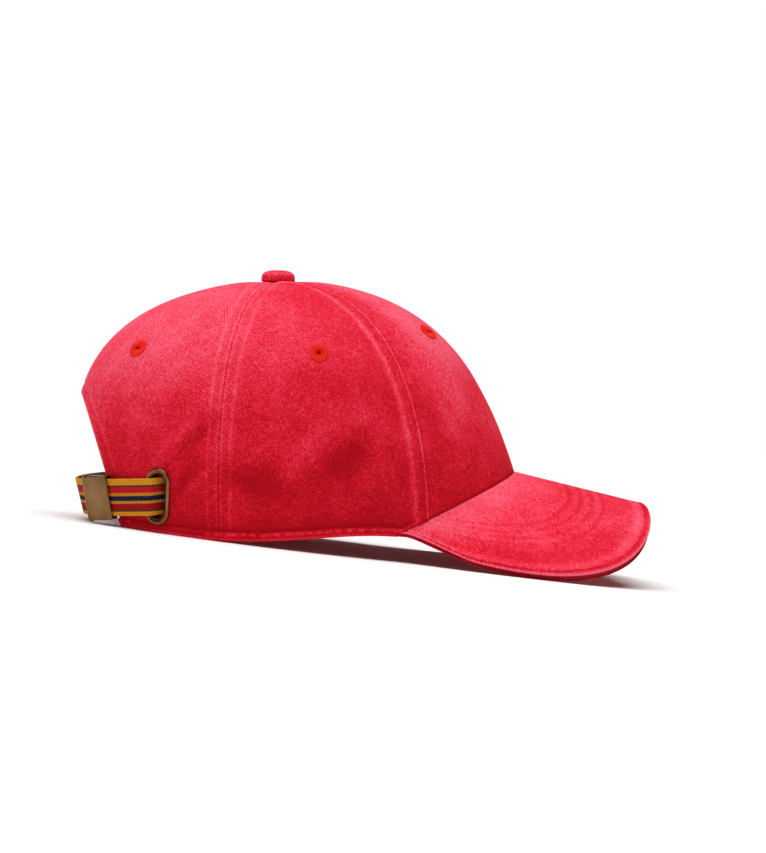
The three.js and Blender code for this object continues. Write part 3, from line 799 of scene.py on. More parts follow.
@dataclass(frozen=True)
class Thread(Finish):
    """Satin embroidery thread: painted highlights on the stitch ridges and painted shade between them run
    with the angle round the eyelet.
    """

    name: str = "satin_thread"
    bright: tuple = (0.88, 0.024, 0.012)
    dark: tuple = (0.6, 0.012, 0.01)

    def surface(self, kit: NodeKit) -> dict:
        """Painted highlight on the stitches' ridges and painted shade in the grooves between them."""
        fibre = kit.noise(1600.0, 2.0, 0.6)
        amount = kit.add(kit.wear(), kit.centred(fibre, 0.6))
        return {
            "Base Color": kit.ramp(amount, [(0.0, self.dark), (0.8, self.bright)]),
            "Normal": kit.bump(fibre, 0.2, 0.2 * MM),
            "Roughness": 0.55,
            "Specular IOR Level": 0.12,
        }


@dataclass(frozen=True)
class Plain(Finish):
    """One plain colour, for the floor."""

    colour: tuple
    roughness: float = 0.9

    def surface(self, kit: NodeKit) -> dict:
        """The colour alone."""
        return {"Base Color": (*self.colour, 1.0), "Roughness": self.roughness, "Specular IOR Level": 0.1}


@dataclass(frozen=True)
class Crease:
    """A soft fold or dent of the worn cloth, as a stretched bell on the crown."""

    angle: float
    down: float
    turn: float
    length: float
    width: float
    height: float

    def bell(self, points: Array) -> Array:
        """Height of the bell at points of the crown.

        Args:
            points: Points of the outer face.

        Returns:
            e to the power of minus the squared distances along and across the fold, in its sizes.
        """
        place = (np.array(radians(self.angle)), np.array(self.down))
        centre, along, up, _ = SHAPE.crown_frame(*place)
        away = points - centre
        across, upward = away @ along, away @ up
        cosine, sine = cos(radians(self.turn)), sin(radians(self.turn))
        lengthwise = (across * cosine + upward * sine) / self.length
        sideways = (upward * cosine - across * sine) / self.width
        return self.height * np.exp(-(lengthwise**2) - sideways**2)


@dataclass(frozen=True)
class Line:
    """A soft line along an edge: its place and width, and its amount in the middle and at the sides."""

    at: float
    width: float
    middle: float
    sides: float


def lined(distance: Array, lines: tuple, sideways: Array | float = 0.0) -> Array:
    """Sum of soft lines: the bell of each times its middle amount mixed with that at the sides.

    Args:
        distance: Distances from the edge.
        lines: The lines.
        sideways: Share from the middle to the sides.

    Returns:
        Heights, or worn colour with painted light.
    """
    bells = (bump(distance, line.at, line.width) for line in lines)
    return sum(mix(line.middle, line.sides, sideways) * bell for line, bell in zip(lines, bells))


@dataclass(frozen=True)
class Seam:
    """One edge of a panel: its sunk line, raised allowance, stitch rows and pale lines, in millimetres."""

    sink: float
    width: float
    band: float
    lift: float
    rows: tuple
    row_sink: float
    pale: tuple
    paleness: float
    dark: float = 0.35
    dark_width: float = 0.3


@dataclass(frozen=True)
class BloomAndSheen:
    """Paler colour that grows with the height's share, partly fading and partly painted sheen from the light
    above, and for some with the hem angle in degrees.
    """

    amount: float
    low: float
    high: float
    turns: tuple | None = None


FELLED = Seam(0.25, 0.35, 7.4, 0.6, (2.5, 6.2), 0.32, ((1.1, 1.0), (7.9, 1.9)), 0.3)
SMOOTH = Seam(0.25, 0.35, 3.0, 0.0, (), 0.0, (), 0.0)
OPENED = Seam(0.22, 0.3, 5.0, 0.15, (4.4,), 0.14, ((0.9, 0.7), (5.4, 1.2)), 0.16)

SEAMS: dict = {
    Place.FRONT: (OPENED, SMOOTH),
    Place.SIDE: (FELLED, OPENED),
    Place.BACK: (OPENED, OPENED),
}

# Paler colour higher on the crown: partly fading, partly painted sheen from the light above.
BLOOMS_AND_SHEEN = (
    BloomAndSheen(0.16, 0.15, 0.5),
    BloomAndSheen(0.15, 0.5, 0.95),
    BloomAndSheen(0.31, 0.3, 0.8, (60.0, 150.0)),
    BloomAndSheen(0.4, 0.25, 0.85, (60.0, 35.0)),
)

CREASES: dict = {
    Place.FRONT: (
        Crease(angle=46.0, down=0.8, turn=84.0, length=22.0, width=5.0, height=0.5),
        Crease(angle=22.0, down=0.72, turn=20.0, length=22.0, width=9.0, height=-0.5),
    ),
    Place.SIDE: (
        Crease(angle=82.0, down=0.86, turn=-38.0, length=15.0, width=7.0, height=-1.5),
        Crease(angle=104.0, down=0.9, turn=14.0, length=14.0, width=6.0, height=-1.2),
        Crease(angle=93.0, down=0.84, turn=-50.0, length=14.0, width=5.0, height=0.6),
        Crease(angle=70.0, down=0.88, turn=76.0, length=16.0, width=4.0, height=0.5),
        Crease(angle=88.0, down=0.66, turn=-12.0, length=26.0, width=9.0, height=-0.5),
    ),
    Place.BACK: (
        Crease(angle=120.0, down=0.8, turn=-46.0, length=12.0, width=5.0, height=-1.2),
        Crease(angle=123.5, down=0.9, turn=-58.0, length=11.0, width=3.2, height=-1.0),
        Crease(angle=129.0, down=0.84, turn=-50.0, length=13.0, width=4.0, height=0.7),
        Crease(angle=134.0, down=0.79, turn=20.0, length=8.0, width=3.0, height=0.4),
    ),
}


@dataclass
class PanelPiece:
    """A piece of one panel, worked out on the left half of the cap and mirrored to its side."""

    place: Place
    side: Side

    @property
    def name(self) -> str:
        """Name shared with the node."""
        return f"{self.place.name.lower()}_{self.side.name.lower()}"

    @property
    def mirror(self) -> Array:
        """Factors that carry points to the piece's side."""
        return np.array([1.0, float(self.side.value), 1.0])

    @property
    def ends(self) -> Array:
        """Hem angles of the panel's two seams."""
        return np.radians(SHAPE.seam_angles[self.place.value : self.place.value + 2])


@dataclass
class Eyelet(PanelPiece):
    """Embroidered eyelet: satin stitches round a small hole, outside and inside."""

    distances: tuple = (81.0, 77.0, 87.0)
    radius: float = 4.8
    hole: float = 0.75
    stitches: int = 64
    steps: int = 256
    stitch_rise: float = 0.16
    back_rim: float = 3.0
    outer_lifts: tuple = (-2.6, 0.1, 0.35, 0.55, 0.65, 0.6, 0.3, -0.6)
    back_lifts: tuple = (-2.1, -2.6, -2.6)

    def where(self) -> tuple:
        """Hem angle and profile parameter at the eyelet's distance from the button, by halving."""
        angle = self.ends.mean()
        top = SHAPE.crown_point(angle, 0.0)

        def beyond(down: Array) -> Array:
            """True past the eyelet's distance from the button."""
            return length_of(SHAPE.crown_point(angle, down) - top) > self.distances[self.place.value]

        return np.array(angle), halve(0.0, 1.0, beyond)

    def build(self) -> None:
        """Makes the eyelet as a ring of stitches turned round its axis."""
        axes = SHAPE.crown_frame(*self.where())
        turn = np.linspace(0.0, FULL_TURN, self.steps, endpoint=False)
        outside = [self.hole, self.hole, 1.4, 2.2, 3.2, 4.2, self.radius, self.radius - 0.2]
        reach = np.array([*outside, self.radius - 0.6, self.back_rim, self.hole])
        lift = np.array([*self.outer_lifts, *self.back_lifts])
        ridge = np.abs(np.sin(turn * self.stitches / 2.0))
        uneven = 0.08 * np.sin(5.0 * turn + self.place.value) + 0.06 * np.sin(17.0 * turn)
        radial = reach[:, None] + smoothstep(reach, 2.0, self.radius)[:, None] * uneven
        lifted = lift[:, None] + np.where(lift > 0.0, self.stitch_rise, 0.0)[:, None] * ridge
        points = from_axes(axes, radial * np.cos(turn), radial * np.sin(turn), lifted)
        # Painted highlight on the stitch ridges and painted shade in the grooves and in the hole.
        wear = np.tile(0.35 + 0.55 * ridge, (len(reach), 1))
        wear[[0, 1, -1]] = 0.0
        dress = Dress(f"stitched_eyelet_{self.name}", f"eyelet_{self.name}", "satin_thread", "thread")
        build_object([Grid(points * self.mirror, None, wear)], dress, is_loop=True, sharp=70.0)


@dataclass
class CrownPanel(PanelPiece):
    """One cloth panel with sunk seams, stitch rows, a turned hem and soft creases."""

    columns: int = 110
    rows: int = 170
    stitch_pitch: float = 2.6
    seam_inset: float = 0.01
    hem_row: float = 2.5
    hem_reach: float = 0.6
    hem_ease: float = 2.5
    roll_angles: tuple = (60.0, 67.0)
    highlight_angles: tuple = (122.0, 110.0)
    pucker_pitch: float = 0.62
    pucker_drift: float = 5.0
    roll_rise: float = 0.45
    roll_pale: float = 0.36
    row_sink: float = 0.6
    hem_shade: float = 0.16
    root_shade: float = 0.5
    arch_relief: tuple = (Line(4.5, 0.5, -0.3, -0.3),)
    arch_wear: tuple = (Line(0.0, 1.2, 0.35, 0.35), Line(5.9, 1.0, 0.15, 0.15))
    hole_radius: float = 2.6
    visor_clear: float = 0.05
    base_wear: float = 0.12
    inner_wear: float = 0.3
    border_wear: float = 0.35
    # Painted shade in the creases' valleys and painted highlight on their ridges, per millimetre of fold
    # height.
    crease_wear: float = 0.22

    def times(self) -> Array:
        """Profile parameters of the rows, closer together at the opening's top."""
        tip = SHAPE.panel_tip / (3.0 * SHAPE.top_handles[1] * SHAPE.crown_width / 2.0)
        if self.place is not Place.BACK:
            share = np.linspace(0.0, 1.0, self.rows)
            return mix(tip, 1.0, 0.35 * share + 0.65 * (1.0 - (1.0 - share) ** 2))
        upper = self.rows // 2
        share = np.linspace(0.0, 1.0, self.rows - upper + 1)[1:]
        split = SHAPE.arch_top
        return np.concatenate([np.linspace(tip, split, upper), mix(split, 1.0, crowded(share, 0.7))])

    def across(self) -> Array:
        """Shares of the way across the panel, closer together at its seams."""
        return crowded(np.linspace(0.0, 1.0, self.columns), 0.65)

    def angles(self, times: Array) -> Array:
        """Hem angles of every column at every row."""
        start, far = self.ends
        end = SHAPE.opening_angle(times) if self.place is Place.BACK else np.full_like(times, far)
        return start + (end - start)[:, None] * self.across()

    def seams(self, distances: tuple, run: Array) -> tuple:
        """Relief and wear of the two seams: bells at their lines and rows, pulled in at each stitch.

        Args:
            distances: Distances from the two seams.
            run: Distance covered down the panel.

        Returns:
            Heights in millimetres and wear.
        """
        rise, wear = np.zeros_like(run), np.zeros_like(run)
        pull = 0.5 + 0.5 * np.cos(FULL_TURN * run / self.stitch_pitch)
        for distance, seam in zip(distances, SEAMS[self.place]):
            band = smoothstep(distance, 0.0, 0.8) * smoothstep(distance, seam.band + 0.6, seam.band - 0.5)
            rise += seam.lift * band - seam.sink * bump(distance, 0.0, seam.width)
            wear -= seam.dark * bump(distance, 0.0, seam.dark_width) * (0.35 + 0.65 * pull)
            for row in seam.rows:
                rise -= seam.row_sink * (0.5 + 0.5 * pull) * bump(distance, row, 0.45)
                wear -= 0.5 * seam.row_sink * (0.6 + 0.4 * pull) * bump(distance, row, 0.5)
            for line, broad in seam.pale:
                wear += seam.paleness * bump(distance, line, broad)
        return rise, wear

    def hem(self, angles: Array, above: Array) -> tuple:
        """Relief and painted light of the turned hem: a puckered roll below its stitch row, with a painted
        highlight on the roll, a painted shadow above it, and painted shade over the hem row's band and at the
        foot of the hem where it isn't rolled.

        Args:
            angles: Hem angles.
            above: Distances above the hem.

        Returns:
            Heights in millimetres, and painted highlight and shade.
        """
        around = angles * SHAPE.crown_width / 2.0
        pucker = np.sin(around / self.pucker_pitch + 1.5 * np.sin(around / self.pucker_drift))
        rolled = smoothstep(angles, *np.radians(self.roll_angles))
        bright = rolled * smoothstep(angles, *np.radians(self.highlight_angles))
        rise = rolled * (self.roll_rise + 0.1 * pucker) * bump(above, 0.9, 0.9)
        rise -= self.row_sink * rolled * bump(above, self.hem_row, 0.5) * (1.0 + 0.2 * pucker)
        # Painted highlight on the roll, a painted shadow line above it, painted shade over the band round the
        # hem row and painted shade at the foot of the unrolled hem.
        wear = bright * (self.roll_pale + 0.16 * pucker) * bump(above, 1.1, 0.9)
        wear -= (0.25 * rolled + 0.3 * bright) * bump(above, self.hem_row + 0.3, 0.6)
        wear -= self.hem_shade * rolled * bump(above, self.hem_row, 5.0)
        wear -= self.root_shade * (1.0 - rolled) * bump(above, 0.0, 1.0)
        return rise, wear

    def relief(self, points: Array, angles: Array, times: Array, run: Array) -> tuple:
        """Height above the plain cloth, and worn colour with painted light: the seams', the hem's, the arch's
        and the creases', with painted shade in the creases' valleys and a painted highlight on their ridges.

        Args:
            points: Points of the outer face.
            angles: Their hem angles.
            times: Their profile parameters.
            run: Distance covered down the panel.

        Returns:
            Heights in millimetres, and worn colour with painted light.
        """
        step = 0.005
        wide = length_of(SHAPE.crown_point(angles + step, times) - SHAPE.crown_point(angles - step, times))
        distances = tuple(np.abs(angles - end) * wide / (2.0 * step) for end in self.ends)
        rise, wear = (sum(pair) for pair in zip(self.seams(distances, run), self.hem(angles, run[-1:] - run)))
        if self.place is Place.BACK:
            edge = SHAPE.arch_distance(points)
            rise += lined(edge, self.arch_relief)
            wear += lined(edge, self.arch_wear)
        fold = sum(crease.bell(points) for crease in CREASES[self.place])
        # The creases are also painted: shade in their valleys, highlight on their ridges.
        return rise + fold, wear + self.crease_wear * fold

    def bloom_and_sheen(self, outer: Array, angles: Array) -> Array:
        """Paler colour that grows with the height, partly fading and partly painted sheen from the light
        above: the sum of smooth steps of height and angle.
        """
        height = (outer[..., 2] - REST.drop) / SHAPE.crown_height
        wear = np.full_like(height, self.base_wear)
        for bloom_and_sheen in BLOOMS_AND_SHEEN:
            turned = 1.0 if bloom_and_sheen.turns is None else smoothstep(np.abs(angles), *np.radians(bloom_and_sheen.turns))
            wear += bloom_and_sheen.amount * turned * smoothstep(height, bloom_and_sheen.low, bloom_and_sheen.high)
        return wear

    def build(self) -> None:
        """Makes the panel as an outer and an inner face joined round the border."""
        times = self.times()
        angles = self.angles(times)
        down = np.broadcast_to(times[:, None], angles.shape)
        plain = SHAPE.crown_point(angles, down)
        run = travelled(plain)
        rise, wear = self.relief(plain, angles, down, run)
        hem = SHAPE.hem_plan(angles)
        inset = self.seam_inset * (1.0 - 2.0 * self.across()) / length_of(hem)
        shift = joined(-hem[..., 1] * inset, hem[..., 0] * inset, 0.0)
        outer = SHAPE.crown_point(angles, down, -rise) + shift
        inner = SHAPE.crown_point(angles, down, SHAPE.cloth_wall - np.minimum(rise, 0.0) * 0.3) + shift
        in_front = np.abs(angles) < SHAPE.corner_angle
        low_edge = self.hem_reach * smoothstep(run[-1:] - run, self.hem_ease, 0.0)
        for face in (outer, inner):
            on_visor = SHAPE.visor_surface(face[..., 0], face[..., 1]) + self.visor_clear
            floor = np.where(in_front, on_visor, SHAPE.hem_height(angles))
            face[..., 2] = np.maximum(face[..., 2], floor) - np.where(in_front, 0.0, low_edge)
        wear = wear + self.bloom_and_sheen(outer, angles)
        around = (angles - self.ends.mean()) * np.hypot(outer[..., 0], outer[..., 1])
        weave = joined(around, run)
        keep = self.uncut(plain)
        if self.place is Place.BACK and self.side is Side.RIGHT:
            keep &= Grommet().uncut(plain)
        rings = [
            np.concatenate([face[0], face[1:, -1], face[-1, -2::-1], face[-2::-1, 0]])
            for face in (outer, inner)
        ]
        grids = [
            Grid(outer * self.mirror, weave, wear, keep),
            Grid(inner * self.mirror, weave, self.inner_wear, keep),
            Grid(np.stack(rings) * self.mirror, None, self.border_wear),
        ]
        build_object(grids, Dress(f"cloth_{self.name}", f"crown_{self.name}", "washed_twill", "twill"))

    def uncut(self, points: Array) -> Array:
        """True for each quad outside the eyelet's hole."""
        centre = SHAPE.crown_point(*Eyelet(self.place, self.side).where())
        return length_of(quad_middles(points) - centre) > self.hole_radius


@dataclass
class Button:
    """Cloth-covered button at the top, gathered under its rim, with its washer inside."""

    radius: float = 8.3
    height: float = 6.2
    rim: float = 1.5
    tilt: float = 1.0
    steps: int = 144
    gathers: int = 16
    # Reach and height of the points under the rim, along the shank and round the washer.
    rim_shares: tuple = ((0.995, 0.9), (0.96, 0.4), (0.86, 0.15))
    shank: tuple = ((5.5, 0.1), (2.4, 0.1), (2.4, -2.2))
    washer: tuple = ((6.8, -2.4), (7.0, -2.7), (6.8, -3.1), (0.0, -3.1))

    def build(self) -> None:
        """Makes the button as a turned profile, a superellipse above a rounded rim."""
        share = np.linspace(0.0, pi / 2.0, 20)
        dome = joined(self.radius * np.sin(share) ** 0.72, mix(self.rim, self.height, np.cos(share) ** 0.62))
        under_rim = [(self.radius * share, height) for share, height in self.rim_shares]
        reach, lift = np.concatenate([dome, under_rim, self.shank, self.washer]).T
        turn = np.linspace(0.0, FULL_TURN, self.steps, endpoint=False)
        under = bump(lift, 1.0, 0.8) * smoothstep(reach, 4.0, self.radius)
        radial = reach[:, None] * (1.0 + 0.012 * under[:, None] * np.cos(self.gathers * turn))
        x, y = radial * np.cos(turn), radial * np.sin(turn)
        z = lift[:, None]
        cosine, sine = cos(radians(self.tilt)), sin(radians(self.tilt))
        points = joined(x * cosine + z * sine, y, z * cosine - x * sine + SHAPE.crown_height)
        # Painted shade under the rim where the button meets the crown, and a paler ring high on the dome.
        wear = 0.42 + 0.25 * bump(z, 4.6, 1.2) - 0.5 * bump(z, 0.1, 0.8)
        dress = Dress("covered_button", "top_button", "washed_twill", "twill")
        build_object([Grid(points, joined(x, y), wear)], dress, is_loop=True)


@dataclass
class Visor:
    """Curved visor: rolled and worn edge, bare strip below it and the under cloth."""

    columns: int = 260
    rows: int = 84
    under_rows: int = 60
    lap_rows: int = 12
    edge_row: float = 2.8
    row_sink: float = 0.3
    inner_rows: tuple = (25.0, 31.0, 37.0, 43.0)
    welt: float = 0.2
    narrow: tuple = (4.0, 14.0)
    top_wear: float = 0.5
    lap_shade: float = 0.5
    under_wear: float = 0.3
    # Relief in millimetres and worn colour, by the distance inside the edge, from a row and from the root; at
    # the root a darker line where the crown's hem meets the visor.
    edge_relief: tuple = (Line(2.8, 0.45, -0.3, -0.3), Line(4.3, 1.0, 0.12, 0.12))
    edge_wear: tuple = (
        Line(0.3, 0.55, 0.55, 0.55),
        Line(1.6, 0.8, -0.15, -0.15),
        Line(2.8, 0.42, -0.4, -0.4),
        Line(6.6, 2.6, 0.26, 0.14),
        Line(14.0, 9.0, 0.0, -0.14),
    )
    row_relief: tuple = (Line(0.0, 0.7, -0.13, -0.052),)
    row_wear: tuple = (Line(0.0, 0.8, -0.16, -0.06), Line(2.6, 1.4, 0.06, 0.06))
    root_relief: tuple = (Line(0.0, 1.2, -0.25, -0.25),)
    root_wear: tuple = (Line(0.0, 0.8, -0.4, -0.4), Line(1.6, 0.8, 0.2, 0.2), Line(6.0, 16.0, 0.24, 0.24))
    # The first line is painted shade along the under cloth's edge; the second darkens its stitch row.
    under_lines: tuple = (Line(0.0, 1.6, -0.8, -0.8), Line(2.8, 0.6, -0.2, -0.2))
    pucker_pitch: float = 4.6
    corner_taper: float = 0.75
    taper_start: float = 0.88
    crowding: float = 0.8
    strip_share: float = 26.0 / 28.0 * 0.97
    strip_bulge: float = 0.35
    strip_wear: float = 0.25
    end_wear: float = 0.5

    def shares(self, reach: float = 1.0) -> Array:
        """Shares of the columns across the visor."""
        return np.linspace(-reach, reach, self.columns)

    def width(self, share: Array) -> Array:
        """Distance from the crown to the edge across the visor's top."""
        return length_of(SHAPE.visor_point(share, 0.0, 0.0) - SHAPE.visor_point(share, 1.0, 0.0))

    def spread(self, sections: list) -> tuple:
        """Distances inside the edge and depths of the sections, each as rows of columns."""
        wide = [[np.broadcast_to(number, self.columns) for number in row] for row in sections]
        inside, depth = np.moveaxis(np.array(wide), 1, 0)
        return inside, depth

    def evened(self, sections: list, closing: tuple) -> list:
        """Sections with a closing one where their number is odd, so that the ends pair up."""
        return sections + [closing] * (len(sections) % 2)

    def rounded(self, start: float, thick: float, steps: int = 9) -> list:
        """Half round edge: distances inside the edge and depths from its top to its bottom."""
        half = thick / 2.0
        turns = np.linspace(0.0, pi, steps)
        return [(half * (1.0 - sin(turn)), start + half * (1.0 - cos(turn))) for turn in turns]

    def swept(
        self, sections: list, relief: Array | float, wear: Array | float, dress: Dress, reach: float = 1.0
    ) -> None:
        """Makes one layer from section rows.

        Args:
            sections: Pairs of a distance inside the edge and a depth, each an array or a number.
            relief: Height above each row's depth, of shape (rows, columns) or a number.
            wear: Worn colour and painted shade of the same shape.
            dress: Name, node, material and slot.
            reach: Share of the visor's span that the layer covers.
        """
        share = self.shares(reach)
        inside, depth = self.spread(sections)
        pointed = 1.0 - self.corner_taper * smoothstep(np.abs(share), self.taper_start, 1.0)
        points = SHAPE.visor_point(share, (1.0 - inside / self.width(share)) * pointed, depth - relief)
        ends = [end_cap(points[:, end], self.end_wear) for end in (0, -1)]
        build_object([Grid(points, points[..., 1::-1].copy(), wear), *ends], dress)

    def ripple(self, share: Array, inside: Array) -> Array:
        """Shallow puckers between the edge's stitch row and the edge: two sines under a bell."""
        wave = np.sin(share * 260.0 / self.pucker_pitch) + 0.6 * np.sin(share * 97.0 + 1.3)
        return 0.07 * wave * bump(inside, self.edge_row - 0.8, 1.6)

    def top(self) -> None:
        """Makes the top cloth with its rolled edge and the board below it."""
        share = self.shares()
        width = self.width(share)
        roll = SHAPE.visor_roll
        edge = self.rounded(0.0, roll)
        inner = np.minimum(SHAPE.visor_strip_depth + SHAPE.gap, 0.7 * width)
        full = roll + SHAPE.gap + SHAPE.visor_strip
        parts = np.linspace(0.0, 1.0, self.rows) ** self.crowding
        sections = [(mix(width, edge[0][0], part), 0.0) for part in parts]
        sections += [*edge[1:], (inner, roll), (inner + 0.02, full)]
        sections += [(mix(inner, width, part), full) for part in np.linspace(0.0, 1.0, self.lap_rows)[1:]]
        sections = self.evened(sections, (width, full * 0.5))
        inside, depth = self.spread(sections)
        from_root = width - inside
        sideways = smoothstep(np.abs(share), 0.25, 0.6)
        relief = self.ripple(share, inside) + lined(inside, self.edge_relief, sideways)
        relief += lined(from_root, self.root_relief)
        relief += self.welt * smoothstep(inside, 0.4, 1.2) * smoothstep(inside, 2.6, 1.7)
        wear = self.top_wear + lined(inside, self.edge_wear, sideways) + lined(from_root, self.root_wear)
        # Painted shade on the lap of the top cloth under the rolled edge.
        wear -= self.lap_shade * smoothstep(depth, 0.5 * roll, roll)
        for row in self.inner_rows:
            relief += lined(inside - row, self.row_relief, sideways)
            wear += lined(inside - row, self.row_wear, sideways)
        relief *= (depth < 0.5 * roll) * smoothstep(width, *self.narrow)
        self.swept(sections, relief, wear, Dress("visor_cloth", "visor_top", "washed_twill", "twill"))

    def strip(self) -> None:
        """Makes the bare strip between the layers, slightly rounded."""
        high = SHAPE.visor_roll + SHAPE.gap * 0.4
        thick = SHAPE.visor_strip + SHAPE.gap * 1.2
        inner = SHAPE.visor_strip_depth
        inset, edge = SHAPE.visor_strip_inset, self.rounded(high, thick)
        bulge = [(inset + self.strip_bulge * inside, depth) for inside, depth in edge]
        sections = [(inner, high), *bulge, (inner, high + thick)]
        sections = self.evened(sections, (inner + 0.01, high + thick / 2.0))
        dress = Dress("visor_strip", "visor_sandwich", "strip_twill", "edge_strip")
        self.swept(sections, 0.0, self.strip_wear, dress, self.strip_share)

    def under(self) -> None:
        """Makes the under cloth with the edge's stitch row."""
        width = self.width(self.shares())
        high = SHAPE.visor_depth - SHAPE.visor_under
        edge = self.rounded(high, SHAPE.visor_under)
        parts = np.linspace(0.0, 1.0, self.under_rows) ** self.crowding
        lines = [mix(width, edge[0][0], part) for part in parts]
        sections = [(line, high) for line in lines] + edge[1:]
        sections += [(line, SHAPE.visor_depth) for line in lines[::-1][1:]]
        sections = self.evened(sections, (width, SHAPE.visor_depth - SHAPE.visor_under * 0.5))
        inside, depth = self.spread(sections)
        is_low = depth > high + 0.6 * SHAPE.visor_under
        relief = self.row_sink * bump(inside, self.edge_row, 0.5) * is_low * smoothstep(width, *self.narrow)
        wear = self.under_wear + lined(inside, self.under_lines)
        self.swept(sections, relief, wear, Dress("visor_lining", "visor_under", "washed_twill", "twill"))

    def build(self) -> None:
        """Makes the three layers."""
        self.top()
        self.strip()
        self.under()


@dataclass
class Sweatband:
    """Band inside the crown whose roll shows below the panels."""

    columns: int = 420
    height: float = 32.0
    thickness: float = 1.0
    rear_room: float = 3.6
    room_angles: tuple = (75.0, 98.0)
    turn: float = 0.04
    end_time: float = 0.995
    roll_steps: int = 9
    roll_round: float = 1.0
    # Share of the way from the roll to the inner face, for the rows under the band.
    base_shares: tuple = (0.3, 0.6, 0.85)

    def build(self) -> None:
        """Makes the band: a rounded roll at the hem and a wall up the inside of the crown."""
        end = float(SHAPE.opening_angle(self.end_time)) - SHAPE.gap / (SHAPE.crown_width / 2.0)
        angle = np.linspace(-end, end, self.columns)
        size = np.abs(angle)
        corner = SHAPE.corner_angle
        hem = SHAPE.hem_plan(angle)
        outward = unit(hem)
        room = self.rear_room * smoothstep(size, *np.radians(self.room_angles))
        inset = SHAPE.cloth_wall + SHAPE.gap + room
        low = SHAPE.hem_height(angle) - SHAPE.gap
        drop = SHAPE.hem_roll + (SHAPE.visor_depth - SHAPE.gap) * (1.0 - SHAPE.corner_share(size / corner))
        flat = smoothstep(size, corner + 1.25 * self.turn, corner + 0.25 * self.turn)
        roll_out, roll_top = inset * flat, drop / 2.0 * flat
        rows, wears = [], []

        def roll_row(inwards: Array, lowering: Array, wear: float) -> None:
            """Adds a row of the roll at a distance inwards from the hem and a drop below it."""
            plan = hem - outward * inwards[:, None]
            rows.append(joined(*plan.T, low - lowering + SHAPE.rest_slope * outward[:, 0] * inwards))
            wears.append(np.full(self.columns, wear))

        def wall_row(up: float, depth: Array, wear: float) -> None:
            """Adds a row of the wall at a height above the hem and a depth in the crown."""
            rows.append(SHAPE.crown_point(angle, SHAPE.time_at(angle, low + up), depth))
            wears.append(np.full(self.columns, wear))

        inner = inset + self.thickness
        for up in (self.height - 0.4, self.height * 0.6, self.height * 0.25):
            wall_row(up, inset, 0.2)
        roll_row(inset, roll_top, 0.2)
        middle, half = (drop + roll_top) / 2.0, (drop - roll_top) / 2.0
        for turn in np.linspace(0.0, pi, self.roll_steps):
            inwards = roll_out + np.minimum(half, self.roll_round) * (1.0 - sin(turn))
            roll_row(inwards, middle - half * cos(turn), 0.42)
        for part in self.base_shares:
            roll_row(mix(roll_out + self.roll_round, inner - 0.3, part), drop, 0.3)
        roll_row(inner, drop - 0.35, 0.3)
        # The wall bulges at its lower stitch row and is dark at the upper one.
        top = self.height
        wall = ((1.0, 0.0), (2.4, 0.0), (3.0, 0.25), (3.6, 0.0), (6.0, 0.0), (top * 0.5, 0.0))
        for up, bulge in (*wall, (top - 4.2, 0.0), (top - 3.6, 0.0)):
            wall_row(up, inner - bulge, 0.3)
        wall_row(top - 3.2, inner - 0.25, 0.1)
        for up in (top - 2.8, top - 0.4):
            wall_row(up, inner, 0.35)
        wall_row(top, inset + self.thickness / 2.0, 0.35)
        points = np.stack([*rows, rows[0]])
        weave = joined(travelled(points, 1), points[..., 2])
        dress = Dress("band_cloth", "sweatband", "band_twill", "band")
        build_object([Grid(points, weave, np.stack([*wears, wears[0]]))], dress)


@dataclass
class Grommet:
    """Oval grommet: a rolled rim outside, a sunk lip round the slot and a rim inside."""

    length: float = 27.5
    width: float = 13.2
    rim: float = 2.6
    proud: float = 0.9
    distance: float = 29.0
    arc_steps: int = 28
    # Reach out from the slot and height: on the cloth's face, then below its inner face.
    outside: tuple = (
        (0.0, 0.45), (0.2, 0.72), (0.6, 0.8), (0.95, 1.05), (1.4, 1.45),
        (1.95, 1.45), (2.4, 1.15), (2.6, 0.75), (2.5, 0.55), (0.6, 0.2),
    )
    inside: tuple = ((0.6, 0.0), (1.9, -0.4), (2.4, -0.8), (1.8, -1.05), (0.5, -0.8), (0.0, -0.3))

    @property
    def slot(self) -> float:
        """Half width of the slot."""
        return self.width / 2.0 - self.rim

    def uncut(self, points: Array) -> Array:
        """True for each quad of the cloth outside the middle line of the rim, on either side of the cap."""
        origin, along, up, _ = SHAPE.strap_frame(np.array(SHAPE.angle_from_corner(self.distance)))
        away = quad_middles(points) - origin
        beyond = np.maximum(np.abs(away @ up) - (self.length - self.width) / 2.0, 0.0)
        return np.hypot(away @ along, beyond) > (self.width - self.rim) / 2.0

    def build(self) -> None:
        """Makes the rims as a section swept round an oval."""
        axes = SHAPE.strap_frame(np.array(SHAPE.right_angle_from_corner(self.distance)))
        under = [(reach, lift - SHAPE.cloth_wall - SHAPE.gap) for reach, lift in self.inside]
        reach, lift = np.array([*self.outside, *under, self.outside[0]]).T[..., None]
        arc = np.linspace(0.0, pi, self.arc_steps)
        turn = np.concatenate([arc, arc + pi])
        centre = np.repeat([1.0, -1.0], self.arc_steps) * (self.length - self.width) / 2.0
        radial = self.slot + reach
        points = from_axes(axes, radial * np.cos(turn), centre + radial * np.sin(turn), lift)
        dress = Dress("oval_grommet", "strap_grommet", "antique_brass", "brass")
        build_object([Grid(points)], dress, is_loop=True, sharp=75.0)


